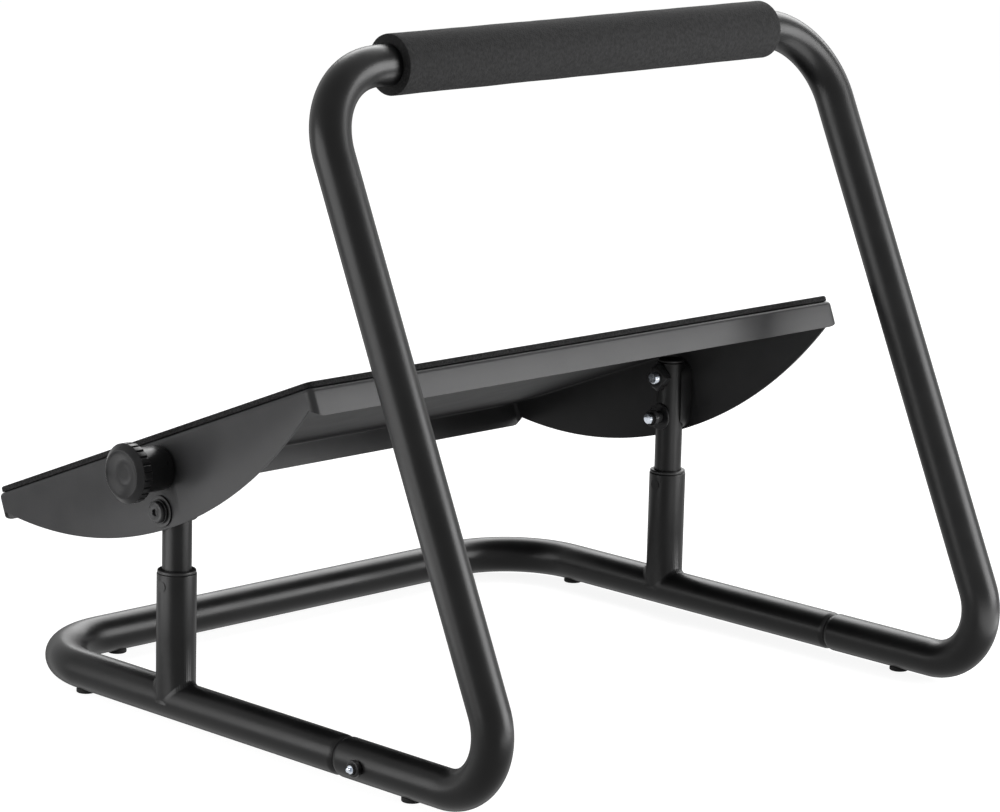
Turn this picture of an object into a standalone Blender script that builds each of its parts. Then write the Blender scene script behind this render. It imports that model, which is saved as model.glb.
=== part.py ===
"""Tilting footrest on a bent-tube stand, with a foam-sleeved carrying bar.

Units are metres and +Z is up. The sitter is at -Y, facing +Y, so +X is the
sitter's right, the side with the clamp knob. The pieces are drawn about the
plane between the two sides of the stand. At the end everything is moved so
that the origin lies on the floor under the middle of the whole width, knob
and bolt heads included. The tray is drawn level about its own pivot and then
tilted by an empty.
"""
import math

import bmesh
import bpy
from mathutils import Matrix, Vector

# Clearances
SEAT_GAP = 0.0003             # between pieces that touch
RUNNING_GAP = 0.0003          # round the pieces that slide or turn
LIFT_END_GAP = 0.0020         # under the inner posts at their lowest

# Stand tubes
TUBE_RADIUS = 0.0125
TUBE_WALL = 0.0015
TUBE_MOUTH_ROUND = 0.0028     # length of the rounding at an open end
TUBE_MOUTH_DROP = 0.0012      # and how far it draws in
STAND_LENGTH = 0.4540         # front of the front rail to the back of the rear bends
FRONT_BEND_RADIUS = 0.0600
HANDLE_LEAN = math.radians(24.5)
HANDLE_HEIGHT = 0.4193        # floor to the bar's centre line
HANDLE_TOP_BEND_RADIUS = 0.0520
HANDLE_FOOT_BEND_RADIUS = 0.0380
SEAM_SETBACK = 0.3055         # front rail to the joints with the handle tube

# Joints between base tube and handle tube
SPIGOT_WALL = 0.0015
SPIGOT_FRONT_REACH = 0.0300
SPIGOT_REAR_REACH = 0.0400
JOINT_SCREW_SETBACK = 0.0225  # seam to the screw
JOINT_SCREW_RADIUS = 0.0030
JOINT_SCREW_HEAD_RADIUS = 0.0050
JOINT_SCREW_HEAD_HEIGHT = 0.0020
JOINT_SCREW_TIP = 0.0015       # rounding of its end
JOINT_SCREW_PROUD = 0.0025    # past the nut
JOINT_NUT_RADIUS = 0.0052
JOINT_NUT_HEIGHT = 0.0045
JOINT_NUT_EDGE = 0.0012

# Foam sleeve on the bar
FOAM_RADIUS = 0.0187
FOAM_END_MARGIN = 0.0055      # mean distance from the bar's bends
FOAM_SHIFT = -0.0050          # pushed a little to the sitter's left
FOAM_EDGE = 0.0015

# Rubber feet
FOOT_RADIUS = 0.0063
FOOT_HEIGHT = 0.0018          # floor to the underside of the tubes
FOOT_EDGE = 0.0008
FOOT_STEM_RADIUS = 0.0025
FOOT_STEM_BARB = 0.0008
FOOT_STEM_LENGTH = 0.0050     # inside the tube
FRONT_FOOT_INSET = 0.0755     # side rail to the front feet
SIDE_FOOT_SETBACK = 0.0610    # front rail to the middle feet
REAR_FOOT_SETBACK = 0.3630    # front rail to the rear feet

# Telescopic posts
POST_SETBACK = 0.1490         # front rail to the posts
OUTER_POST_RADIUS = 0.0125
OUTER_POST_WALL = 0.0015
OUTER_POST_RISE = 0.0820      # above the side rail's centre line
WELD_LEG = 0.0030             # fillet in front of and behind a post
WELD_FADE = 0.15              # share of it left at the sides
INNER_POST_RADIUS = 0.00925
INNER_POST_WALL = 0.0015
POST_EDGE = 0.0007            # rounding of the posts' cut ends
INNER_POST_TOP = 0.0376       # above the pivot
LIFT_DOWN = 0.0180            # stroke below the height photographed
BUSHING_DEPTH = 0.0300
BUSHING_RIM = 0.0020
BUSHING_RIM_INSET = 0.0004
BUSHING_RIM_EDGE = 0.0008
SET_SCREW_DROP = 0.0075       # below the outer post's top
SET_SCREW_RADIUS = 0.0029
SET_SCREW_SOCKET = 0.0030     # across flats
SET_SCREW_SOCKET_DEPTH = 0.0012
SET_SCREW_POINT = 0.0011      # taper of its inner end
SET_SCREW_CHAMFER = 0.0004    # round its socket
PLUG_HEAD = 0.0020
PLUG_EDGE = 0.0010
PLUG_LEAD = 0.0014            # taper of the end that is pushed in

# Tilt mechanism
TILT = math.radians(21.8)     # as photographed
TILT_LOW = math.radians(0.0)
TILT_HIGH = math.radians(30.0)
PIVOT_RISE = 0.1224           # above the side rail's centre line
SLOT_RADIUS = 0.0279          # pivot to the clamp stud
SLOT_END_PLAY = math.radians(1.5)
BOLT_RADIUS = 0.0040
BOLT_HEAD_RADIUS = 0.0070
BOLT_HEAD_HEIGHT = 0.0040
BOLT_HEAD_RIM = 0.0010         # height of its straight edge
BOLT_HEAD_CROWN = 0.0038       # radius of its flat crown
BOLT_SOCKET = 0.0050          # across flats
BOLT_SOCKET_DEPTH = 0.0024
BOLT_PROUD = 0.0030           # past its nut
BOLT_END_CHAMFER = 0.0008
CARRIAGE_HEAD_RADIUS = 0.0090
CARRIAGE_HEAD_HEIGHT = 0.0042
CARRIAGE_HEAD_RIM = 0.0006
OUTER_WASHER_RADIUS = 0.0083
INNER_WASHER_RADIUS = 0.0090
WASHER_HEIGHT = 0.0014
WASHER_EDGE = 0.0003
LOCK_NUT_WIDTH = 0.0130
LOCK_NUT_HEIGHT = 0.0055
LOCK_NUT_COLLAR = 0.0025
LOCK_NUT_COLLAR_RADIUS = 0.0056
SQUARE_NUT_WIDTH = 0.0135
SQUARE_NUT_HEIGHT = 0.0062
SQUARE_NUT_TURN = math.radians(5.0)
NUT_CHAMFER = math.radians(30.0)
BUSH_WALL = 0.0012
BUSH_FLANGE_RADIUS = 0.0098
BUSH_FLANGE_HEIGHT = 0.0010
SADDLE_HALF_WIDTH = 0.0102
SADDLE_SEAT = 0.0110          # post's centre line to the tray's flange
SADDLE_JAW_SETBACK = 0.0004   # post's centre line to the jaws' ends

# Pressed tray
TRAY_WIDTH = 0.4700           # over the side flanges
TRAY_LENGTH = 0.3190          # over the front and rear lips
TRAY_RISE = 0.0468            # pivot to the top of the mat
SHEET = 0.0015
SHEET_BEND = 0.0030           # outer radius between plate and wall
PAN_CORNER = 0.0045           # upright round corners of the wall, seen from above
FLANGE_MID_DEPTH = 0.0543     # top of the sheet to the bottom of the arc
CORNER_DEPTH = 0.0127         # at the round corners, where the arc ends
LIP_DEPTH = 0.0175            # of the front and rear lips
MAT_THICKNESS = 0.0036
MAT_INSET = 0.0013            # inside the pressed sheet's outline
MAT_CORNER = 0.0048
MAT_EDGE = 0.0014

# Clamp knob
KNOB_HUB_RADIUS = 0.0140
KNOB_HUB_LENGTH = 0.0205
KNOB_GRIP_RADIUS = 0.0187
KNOB_GRIP_LENGTH = 0.0100
KNOB_RIBS = 24
KNOB_RIB_DEPTH = 0.0009
KNOB_CHAMFER = 0.0022
KNOB_FACE_RADIUS = 0.0148
KNOB_DISH_DEPTH = 0.0035
KNOB_BOSS_RADIUS = 0.0060
KNOB_BOSS_RISE = 0.0010
KNOB_WASHER_RADIUS = 0.0115
KNOB_STUD_DEPTH = 0.0160      # inside the knob
KNOB_LAND = 0.32              # half of a rib's flat, as a share of the pitch
KNOB_GROOVE = 0.42            # and where its groove's floor begins

# Facets
TUBE_BEVEL_RESOLUTION = 6
TUBE_MOUTH_STEPS = 2
BEND_STEPS = 6
SHEET_BEND_STEPS = 3
CORNER_STEPS = 3
FLANGE_STEPS = 17             # odd, so that no edge runs through the pivot hole's middle
WELD_STEPS = 3
DOME_STEPS = 3
SADDLE_STEPS = 10
SLOT_STEPS = 6
MAT_CORNER_STEPS = 4
ROUND_SIDES = 20
SMALL_SIDES = 14
STEM_SIDES = 8
SMOOTH_ANGLE = math.radians(35.0)

# Places worked out from the sizes above
FLANGE_OUTER_X = TRAY_WIDTH / 2
FLANGE_INNER_X = FLANGE_OUTER_X - SHEET
FLANGE_END_S = TRAY_LENGTH / 2 - PAN_CORNER
LIP_END_X = FLANGE_OUTER_X - PAN_CORNER
SHEET_TOP = TRAY_RISE - MAT_THICKNESS - SEAT_GAP
SIDE_X = FLANGE_INNER_X - SADDLE_SEAT
RAIL_Z = FOOT_HEIGHT + TUBE_RADIUS
FRONT_Y = TUBE_RADIUS - STAND_LENGTH / 2
SEAM_Y = FRONT_Y + SEAM_SETBACK
POST_Y = FRONT_Y + POST_SETBACK
POST_TOP_Z = RAIL_Z + OUTER_POST_RISE
PIVOT_Z = RAIL_Z + PIVOT_RISE
TUBE_BORE = TUBE_RADIUS - TUBE_WALL
OUTER_POST_BORE = OUTER_POST_RADIUS - OUTER_POST_WALL
INNER_POST_BORE = INNER_POST_RADIUS - INNER_POST_WALL
FOAM_LENGTH = 2 * (SIDE_X - HANDLE_TOP_BEND_RADIUS - FOAM_END_MARGIN)
BOLT_HOLE = BOLT_RADIUS + RUNNING_GAP
POST_INNER_X = SIDE_X - INNER_POST_RADIUS - SEAT_GAP
CLAMP_END_X = POST_INNER_X - SQUARE_NUT_HEIGHT - BOLT_PROUD
KNOB_REACH = KNOB_HUB_LENGTH + KNOB_GRIP_LENGTH
BOLT_REACH = BUSH_FLANGE_HEIGHT + SEAT_GAP + BOLT_HEAD_HEIGHT
WIDTH_MIDDLE_X = (KNOB_REACH - BOLT_REACH) / 2
SIDES = {"right": 1, "left": -1}


def clear_scene():
    """Empties the file that the script runs in."""
    for thing in list(bpy.data.objects):
        bpy.data.objects.remove(thing)


def material(name, colour, roughness, metallic=0.0):
    """A Principled finish with one colour."""
    finish = bpy.data.materials.new(name)
    finish.use_nodes = True
    shader = finish.node_tree.nodes["Principled BSDF"]
    shader.inputs["Base Color"].default_value = (*colour, 1.0)
    shader.inputs["Roughness"].default_value = roughness
    shader.inputs["Metallic"].default_value = metallic
    finish.diffuse_color = (*colour, 1.0)
    return finish


def empty(name, location, parent=None, rotation=(0.0, 0.0, 0.0)):
    """A frame that carries the pieces of one moving body."""
    frame = bpy.data.objects.new(name, None)
    frame.empty_display_size = 0.03
    frame.location = location
    frame.rotation_euler = rotation
    frame.parent = parent
    bpy.context.scene.collection.objects.link(frame)
    return frame


def place(name, mesh, finish, parent=None, location=(0, 0, 0), rotation=(0, 0, 0)):
    """Makes an object of a mesh, smooth on its round parts."""
    piece = bpy.data.objects.new(name, mesh)
    piece.location = location
    piece.rotation_euler = rotation
    piece.parent = parent
    bpy.context.scene.collection.objects.link(piece)
    if finish is not None:
        mesh.materials.clear()
        mesh.materials.append(finish)
    mesh.shade_smooth()
    mesh.set_sharp_from_angle(angle=SMOOTH_ANGLE)
    return piece


def to_mesh(name, shape):
    """Turns a bmesh into a mesh whose faces point out."""
    bmesh.ops.remove_doubles(shape, verts=shape.verts, dist=1e-6)
    bmesh.ops.recalc_face_normals(shape, faces=shape.faces)
    mesh = bpy.data.meshes.new(name)
    shape.to_mesh(mesh)
    shape.free()
    return mesh


def loft(name, rings, close_rings=False):
    """Skins rings of equally many points, with end caps or as a closed loop of rings."""
    shape = bmesh.new()
    loops = [[shape.verts.new(point) for point in ring] for ring in rings]
    count = len(loops[0])
    pairs = list(zip(loops, loops[1:]))
    if close_rings:
        pairs.append((loops[-1], loops[0]))
    for lower, upper in pairs:
        for i in range(count):
            j = (i + 1) % count
            shape.faces.new((lower[i], lower[j], upper[j], upper[i]))
    if not close_rings:
        shape.faces.new(loops[0])
        shape.faces.new(loops[-1])
    return to_mesh(name, shape)


def turned(name, profile, sides=SMALL_SIDES, closed=False):
    """Spins (radius, height) points about Z. A closed profile makes a ring."""
    shape = bmesh.new()
    verts = [shape.verts.new((radius, 0.0, height)) for radius, height in profile]
    edges = [shape.edges.new(pair) for pair in zip(verts, verts[1:])]
    if closed:
        edges.append(shape.edges.new((verts[-1], verts[0])))
    bmesh.ops.spin(
        shape, geom=verts + edges, cent=(0, 0, 0), axis=(0, 0, 1),
        angle=math.tau, steps=sides, use_merge=True, use_duplicate=False,
    )
    bmesh.ops.dissolve_degenerate(shape, dist=1e-6, edges=shape.edges)
    return to_mesh(name, shape)


def prism(name, outline, low, high):
    """Extrudes an outline of (x, y) points along Z."""
    shape = bmesh.new()
    floor = shape.faces.new([shape.verts.new((x, y, low)) for x, y in outline])
    raised = bmesh.ops.extrude_face_region(shape, geom=[floor])["geom"]
    lifted = [item for item in raised if isinstance(item, bmesh.types.BMVert)]
    bmesh.ops.translate(shape, verts=lifted, vec=(0, 0, high - low))
    return to_mesh(name, shape)


def polygon(across_flats, corners, turn=0.0):
    """Corner points of a regular polygon of that width across its flats."""
    radius = across_flats / 2 / math.cos(math.pi / corners)
    angles = [turn + math.tau * i / corners for i in range(corners)]
    return [(radius * math.cos(a), radius * math.sin(a)) for a in angles]


def arc(centre, radius, start, end, steps):
    """Points on an arc in the plane, ends included."""
    angles = [start + (end - start) * i / steps for i in range(steps + 1)]
    return [(centre[0] + radius * math.cos(a), centre[1] + radius * math.sin(a)) for a in angles]


def quarter_turn(steps):
    """Angles from nothing to a right angle, ends included."""
    return [math.pi / 2 * i / steps for i in range(steps + 1)]


def bent_line(corners, radii):
    """A centre line through the corners, with a bend of its radius at each inner one."""
    points = [Vector(corners[0])]
    for before, corner, after, radius in zip(corners, corners[1:], corners[2:], radii):
        corner = Vector(corner)
        inward = (Vector(before) - corner).normalized()
        outward = (Vector(after) - corner).normalized()
        half_angle = inward.angle(outward) / 2
        middle = (inward + outward).normalized()
        centre = corner + middle * (radius / math.sin(half_angle))
        start = corner + inward * (radius / math.tan(half_angle)) - centre
        axis = inward.cross(outward).normalized()
        turn = math.pi - 2 * half_angle
        for i in range(BEND_STEPS + 1):
            swing = Matrix.Rotation(-turn * i / BEND_STEPS, 3, axis)
            points.append(centre + swing @ start)
    points.append(Vector(corners[-1]))
    return points


def modifier(piece, kind, **settings):
    """Adds a modifier with its settings."""
    added = piece.modifiers.new(kind.title(), kind)
    for key, value in settings.items():
        setattr(added, key, value)
    return added


def round_edges(piece, width, segments=2):
    """Rounds the edges that turn sharply."""
    modifier(
        piece, "BEVEL", width=width, segments=segments, limit_method="ANGLE",
        angle_limit=math.radians(60.0),
    )


def plain_stations(centre_line):
    """Each point of a centre line with a full radius."""
    return [(point, 1.0) for point in centre_line]


def mouth_stations(centre_line, radius):
    """The same, but drawn in at both ends, which gives a tube its rounded mouths."""
    first, last = centre_line[0], centre_line[-1]
    inward = (centre_line[1] - first).normalized(), (centre_line[-2] - last).normalized()
    head, tail = [], []
    for a in quarter_turn(TUBE_MOUTH_STEPS):
        reach = TUBE_MOUTH_ROUND * (1 - math.cos(a))
        scale = 1 - TUBE_MOUTH_DROP * (1 - math.sin(a)) / radius
        head.append((first + inward[0] * reach, scale))
        tail.append((last + inward[1] * reach, scale))
    return head + plain_stations(centre_line[1:-1]) + tail[::-1]


def skin(stations, radius):
    """The surface of a bevelled curve through stations, each a point and a share of the radius."""
    curve = bpy.data.curves.new("skin", "CURVE")
    curve.dimensions = "3D"
    curve.bevel_depth = radius
    curve.bevel_resolution = TUBE_BEVEL_RESOLUTION
    spline = curve.splines.new("POLY")
    spline.points.add(len(stations) - 1)
    for point, (position, scale) in zip(spline.points, stations):
        point.co = (*position, 1.0)
        point.radius = scale
    line = bpy.data.objects.new("skin", curve)
    mesh = bpy.data.meshes.new_from_object(line)
    bpy.data.objects.remove(line)
    return mesh


def tube(name, centre_line, radius, wall, finish):
    """A bent tube: the skins of two bevelled curves, bridged at both mouths."""
    shape = bmesh.new()
    shape.from_mesh(skin(plain_stations(centre_line), radius - wall))
    bmesh.ops.reverse_faces(shape, faces=shape.faces)
    shape.from_mesh(skin(mouth_stations(centre_line, radius), radius))
    for mouth in (centre_line[0], centre_line[-1]):
        rims = [edge for edge in shape.edges if edge.is_boundary
                and (edge.verts[0].co - mouth).length < 2 * radius]
        bmesh.ops.bridge_loops(shape, edges=rims)
    return place(name, to_mesh(name, shape), finish)


def cutter(name, mesh, parent=None, location=(0, 0, 0), rotation=(0, 0, 0)):
    """A solid that only cuts, so it isn't part of the model."""
    tool = place(name, mesh, None, parent, location, rotation)
    tool.display_type = "WIRE"
    tool.hide_render = True
    return tool


def cut(piece, tool, operation="DIFFERENCE"):
    """Cuts a piece with a tool, or joins it on."""
    modifier(piece, "BOOLEAN", object=tool, operation=operation, solver="EXACT")


def drill(piece, name, radius, start, end, parent=None):
    """Cuts a round hole from one point to another."""
    start, end = Vector(start), Vector(end)
    length = (end - start).length
    rotation = (end - start).to_track_quat("Z", "Y").to_euler()
    outline = polygon(2 * radius, SMALL_SIDES, math.pi / SMALL_SIDES)
    mesh = prism(name, outline, 0.0, length)
    cut(piece, cutter(name, mesh, parent, start, rotation))


def along_x(sign):
    """Turns a piece drawn along Z so that it points out of that side of the stand."""
    return (0.0, sign * math.pi / 2, 0.0)


def rail_corner_y():
    """Where the side rails' line would meet the line of the handle's uprights."""
    bend_centre = STAND_LENGTH / 2 - TUBE_RADIUS - HANDLE_FOOT_BEND_RADIUS
    half_turn = (math.pi / 2 + HANDLE_LEAN) / 2
    return bend_centre + HANDLE_FOOT_BEND_RADIUS * math.tan(half_turn)


def bar_y():
    """The bar's place, where the leaning uprights reach its height."""
    return rail_corner_y() - (HANDLE_HEIGHT - RAIL_Z) * math.tan(HANDLE_LEAN)


def foot_places():
    """Name, x, y and the direction of the tube over each rubber foot."""
    middle_y = FRONT_Y + SIDE_FOOT_SETBACK
    rear_y = FRONT_Y + REAR_FOOT_SETBACK
    places = []
    for side, sign in SIDES.items():
        places.append(("foot_front_" + side, sign * (SIDE_X - FRONT_FOOT_INSET), FRONT_Y, "X"))
        places.append(("foot_middle_" + side, sign * SIDE_X, middle_y, "Y"))
        places.append(("foot_rear_" + side, sign * SIDE_X, rear_y, "Y"))
    return places


def make_base_tube(finish):
    """The front rail and both side rails, one bent tube, open at the joints."""
    rail_end = SEAM_Y - SEAT_GAP / 2
    corners = [
        (SIDE_X, rail_end, RAIL_Z), (SIDE_X, FRONT_Y, RAIL_Z),
        (-SIDE_X, FRONT_Y, RAIL_Z), (-SIDE_X, rail_end, RAIL_Z),
    ]
    line = bent_line(corners, [FRONT_BEND_RADIUS, FRONT_BEND_RADIUS])
    return tube("base_tube", line, TUBE_RADIUS, TUBE_WALL, finish)


def make_handle_tube(finish):
    """Both uprights and the bar, one bent tube that leans over the tray."""
    start = SEAM_Y + SEAT_GAP / 2
    corner = rail_corner_y()
    top = bar_y()
    corners = [
        (SIDE_X, start, RAIL_Z), (SIDE_X, corner, RAIL_Z), (SIDE_X, top, HANDLE_HEIGHT),
        (-SIDE_X, top, HANDLE_HEIGHT), (-SIDE_X, corner, RAIL_Z), (-SIDE_X, start, RAIL_Z),
    ]
    foot, head = HANDLE_FOOT_BEND_RADIUS, HANDLE_TOP_BEND_RADIUS
    line = bent_line(corners, [foot, head, head, foot])
    return tube("handle_tube", line, TUBE_RADIUS, TUBE_WALL, finish)


def drill_foot_holes(base_tube, handle_tube):
    """Each foot's stem goes through the tube's lower wall."""
    radius = FOOT_STEM_RADIUS + SEAT_GAP
    for name, x, y, _ in foot_places():
        carrier = handle_tube if y > SEAM_Y else base_tube
        below = (x, y, RAIL_Z - TUBE_RADIUS - TUBE_WALL)
        drill(carrier, name + "_hole", radius, below, (x, y, RAIL_Z - TUBE_BORE / 2))


def make_feet(finish):
    """Rubber bumpers, coped to the tube above and held by a barbed stem."""
    barb = FOOT_STEM_RADIUS + FOOT_STEM_BARB
    bore_floor = RAIL_Z - math.sqrt((TUBE_BORE - SEAT_GAP) ** 2 - barb ** 2) + SEAT_GAP
    profile = [
        (0.0, 0.0), (FOOT_RADIUS - FOOT_EDGE, 0.0), (FOOT_RADIUS, FOOT_EDGE),
        (FOOT_RADIUS, FOOT_HEIGHT + TUBE_RADIUS / 2), (0.0, FOOT_HEIGHT + TUBE_RADIUS / 2),
    ]
    stem = [
        (0.0, FOOT_HEIGHT / 2), (FOOT_STEM_RADIUS, FOOT_HEIGHT / 2),
        (FOOT_STEM_RADIUS, bore_floor), (barb, bore_floor),
        (FOOT_STEM_RADIUS, FOOT_HEIGHT + FOOT_STEM_LENGTH),
        (0.0, FOOT_HEIGHT + FOOT_STEM_LENGTH),
    ]
    cope_mesh = prism("cope", polygon(2 * (TUBE_RADIUS + SEAT_GAP), ROUND_SIDES),
                      -2 * FOOT_RADIUS, 2 * FOOT_RADIUS)
    stem_mesh = turned("stem", stem, STEM_SIDES)
    for name, x, y, direction in foot_places():
        pad = place(name, turned(name, profile), finish, location=(x, y, 0.0))
        turn = (0, math.pi / 2, 0) if direction == "X" else (math.pi / 2, 0, 0)
        cope = cutter(name + "_cope", cope_mesh.copy(), None, (x, y, RAIL_Z), turn)
        cut(pad, cope)
        plug = cutter(name + "_stem", stem_mesh.copy(), None, (x, y, 0.0))
        cut(pad, plug, "UNION")


def make_joint(side, sign, handle_tube, steel, bright):
    """A sleeve inside both tubes, held by a screw and nut through the handle tube."""
    spigot_radius = TUBE_BORE - SEAT_GAP
    inner = spigot_radius - SPIGOT_WALL
    profile = [
        (inner, -SPIGOT_FRONT_REACH), (spigot_radius, -SPIGOT_FRONT_REACH),
        (spigot_radius, SPIGOT_REAR_REACH), (inner, SPIGOT_REAR_REACH),
    ]
    name = "joint_spigot_" + side
    spigot = place(name, turned(name, profile, ROUND_SIDES, closed=True), steel,
                   location=(sign * SIDE_X, SEAM_Y, RAIL_Z), rotation=(-math.pi / 2, 0, 0))
    screw_y = SEAM_Y + JOINT_SCREW_SETBACK
    centre = Vector((sign * SIDE_X, screw_y, RAIL_Z))
    outside = centre + Vector((sign * 2 * TUBE_RADIUS, 0, 0))
    hole = JOINT_SCREW_RADIUS + SEAT_GAP
    drill(spigot, "joint_hole_inner_" + side, hole, centre, outside)
    drill(handle_tube, "joint_hole_outer_" + side, hole, centre, outside)
    head_top = inner - SEAT_GAP - JOINT_SCREW_HEAD_RADIUS ** 2 / (2 * inner)
    nut_seat = TUBE_RADIUS + SEAT_GAP
    screw_end = nut_seat + JOINT_NUT_HEIGHT + JOINT_SCREW_PROUD
    tip = JOINT_SCREW_TIP
    screw = [
        (0.0, head_top - JOINT_SCREW_HEAD_HEIGHT),
        (JOINT_SCREW_HEAD_RADIUS, head_top - JOINT_SCREW_HEAD_HEIGHT),
        (JOINT_SCREW_HEAD_RADIUS, head_top), (JOINT_SCREW_RADIUS, head_top),
        (JOINT_SCREW_RADIUS, screw_end - tip), (JOINT_SCREW_RADIUS - tip, screw_end),
        (0.0, screw_end),
    ]
    name = "joint_screw_" + side
    place(name, turned(name, screw), bright, location=centre, rotation=along_x(sign))
    bore = JOINT_SCREW_RADIUS + SEAT_GAP
    outer, edge, height = JOINT_NUT_RADIUS, JOINT_NUT_EDGE, JOINT_NUT_HEIGHT
    shoulder = arc((outer - edge, height - edge), edge, 0.0, math.pi / 2, CORNER_STEPS)
    nut = [(bore, 0.0), (outer, 0.0)] + shoulder + [(bore, height)]
    name = "joint_nut_" + side
    place(name, turned(name, nut, closed=True), steel,
          location=centre + Vector((sign * nut_seat, 0, 0)), rotation=along_x(sign))


def make_nut(name, corners, width, height, finish, location, rotation, parent, turn=0.0):
    """A nut drawn up from its seat, with its corners chamfered on the far side."""
    corner_radius = width / 2 / math.cos(math.pi / corners)
    chamfer = (corner_radius - width / 2) * math.tan(NUT_CHAMFER)
    outside = corner_radius + SEAT_GAP
    nut = place(name, prism(name, polygon(width, corners, turn), 0.0, height), finish, parent,
                location, rotation)
    dome = [(0.0, 0.0), (outside, 0.0), (outside, height - chamfer), (width / 2, height),
            (0.0, height)]
    cut(nut, cutter(name + "_chamfer", turned(name, dome), parent, location, rotation), "INTERSECT")
    return nut


def make_foam(finish):
    """The soft sleeve round the bar, with slightly rounded ends."""
    bore = TUBE_RADIUS + SEAT_GAP
    half = FOAM_LENGTH / 2
    edge = FOAM_EDGE
    profile = [
        (bore, -half), (FOAM_RADIUS - edge, -half), (FOAM_RADIUS, edge - half),
        (FOAM_RADIUS, half - edge), (FOAM_RADIUS - edge, half), (bore, half),
    ]
    place("foam_grip", turned("foam_grip", profile, ROUND_SIDES, closed=True), finish,
          location=(FOAM_SHIFT, bar_y(), HANDLE_HEIGHT), rotation=(0, math.pi / 2, 0))


def cope_height(radius, angle):
    """Height over the rail's centre line at which a point round a post clears the rail."""
    across = radius * math.cos(angle)
    reach = TUBE_RADIUS + SEAT_GAP
    return math.sqrt(max(reach ** 2 - across ** 2, 0.0))


def make_outer_post(side, sign, finish):
    """A tube coped over the side rail, with the weld's fillet drawn round its foot."""
    angles = [math.tau * i / ROUND_SIDES for i in range(ROUND_SIDES)]

    def ring(radius_at, height_at):
        points = []
        for a in angles:
            r = radius_at(a)
            points.append((r * math.cos(a), r * math.sin(a), height_at(r, a)))
        return points

    def leg(a):
        return WELD_LEG * (WELD_FADE + (1 - WELD_FADE) * math.sin(a) ** 2)

    def fillet(t):
        out = 1 - math.cos(t)
        up = 1 - math.sin(t)
        return ring(lambda a: OUTER_POST_RADIUS + leg(a) * out,
                    lambda r, a: cope_height(r, a) + leg(a) * up)

    def underside(inward):
        return ring(lambda a: OUTER_POST_BORE + (OUTER_POST_WALL + leg(a)) * (1 - inward), cope_height)

    top = OUTER_POST_RISE
    edge = POST_EDGE
    rings = [
        ring(lambda a: OUTER_POST_BORE, lambda r, a: top),
        ring(lambda a: OUTER_POST_RADIUS - edge, lambda r, a: top),
        ring(lambda a: OUTER_POST_RADIUS, lambda r, a: top - edge),
    ]
    rings += [fillet(t) for t in quarter_turn(WELD_STEPS)]
    rings += [underside(i / WELD_STEPS) for i in range(1, WELD_STEPS + 1)]
    name = "outer_post_" + side
    post = place(name, loft(name, rings, close_rings=True), finish,
                 location=(sign * SIDE_X, POST_Y, RAIL_Z))
    centre = Vector((sign * SIDE_X, POST_Y, POST_TOP_Z - SET_SCREW_DROP))
    drill(post, "set_screw_hole_" + side, SET_SCREW_RADIUS + SEAT_GAP, centre,
          centre + Vector((2 * OUTER_POST_RADIUS, 0, 0)))


def make_bushing(side, sign, plastic, steel):
    """A plastic guide in the outer post's mouth, and the screw that grips through it."""
    bore = INNER_POST_RADIUS + RUNNING_GAP
    outer = OUTER_POST_BORE - SEAT_GAP
    rim = OUTER_POST_RADIUS - BUSHING_RIM_INSET
    profile = [
        (bore, -BUSHING_DEPTH), (outer, -BUSHING_DEPTH), (outer, SEAT_GAP), (rim, SEAT_GAP),
        (rim, BUSHING_RIM - BUSHING_RIM_EDGE), (rim - BUSHING_RIM_EDGE, BUSHING_RIM),
        (bore, BUSHING_RIM),
    ]
    name = "post_bushing_" + side
    sleeve = place(name, turned(name, profile, ROUND_SIDES, closed=True), plastic,
                   location=(sign * SIDE_X, POST_Y, POST_TOP_Z))
    centre = Vector((sign * SIDE_X, POST_Y, POST_TOP_Z - SET_SCREW_DROP))
    drill(sleeve, "set_screw_way_" + side, SET_SCREW_RADIUS + SEAT_GAP, centre,
          centre + Vector((2 * OUTER_POST_RADIUS, 0, 0)))
    low = INNER_POST_RADIUS + SEAT_GAP
    high = OUTER_POST_RADIUS - SEAT_GAP
    point, edge = SET_SCREW_POINT, SET_SCREW_CHAMFER
    body = [
        (0.0, low), (SET_SCREW_RADIUS - point, low), (SET_SCREW_RADIUS, low + point),
        (SET_SCREW_RADIUS, high - edge), (SET_SCREW_RADIUS - edge, high), (0.0, high),
    ]
    name = "set_screw_" + side
    screw = place(name, turned(name, body), steel, location=centre, rotation=along_x(1))
    socket = prism(name, polygon(SET_SCREW_SOCKET, 6), high - SET_SCREW_SOCKET_DEPTH,
                   high + SET_SCREW_SOCKET_DEPTH)
    cut(screw, cutter("set_screw_socket_" + side, socket, None, centre, along_x(1)))


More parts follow.
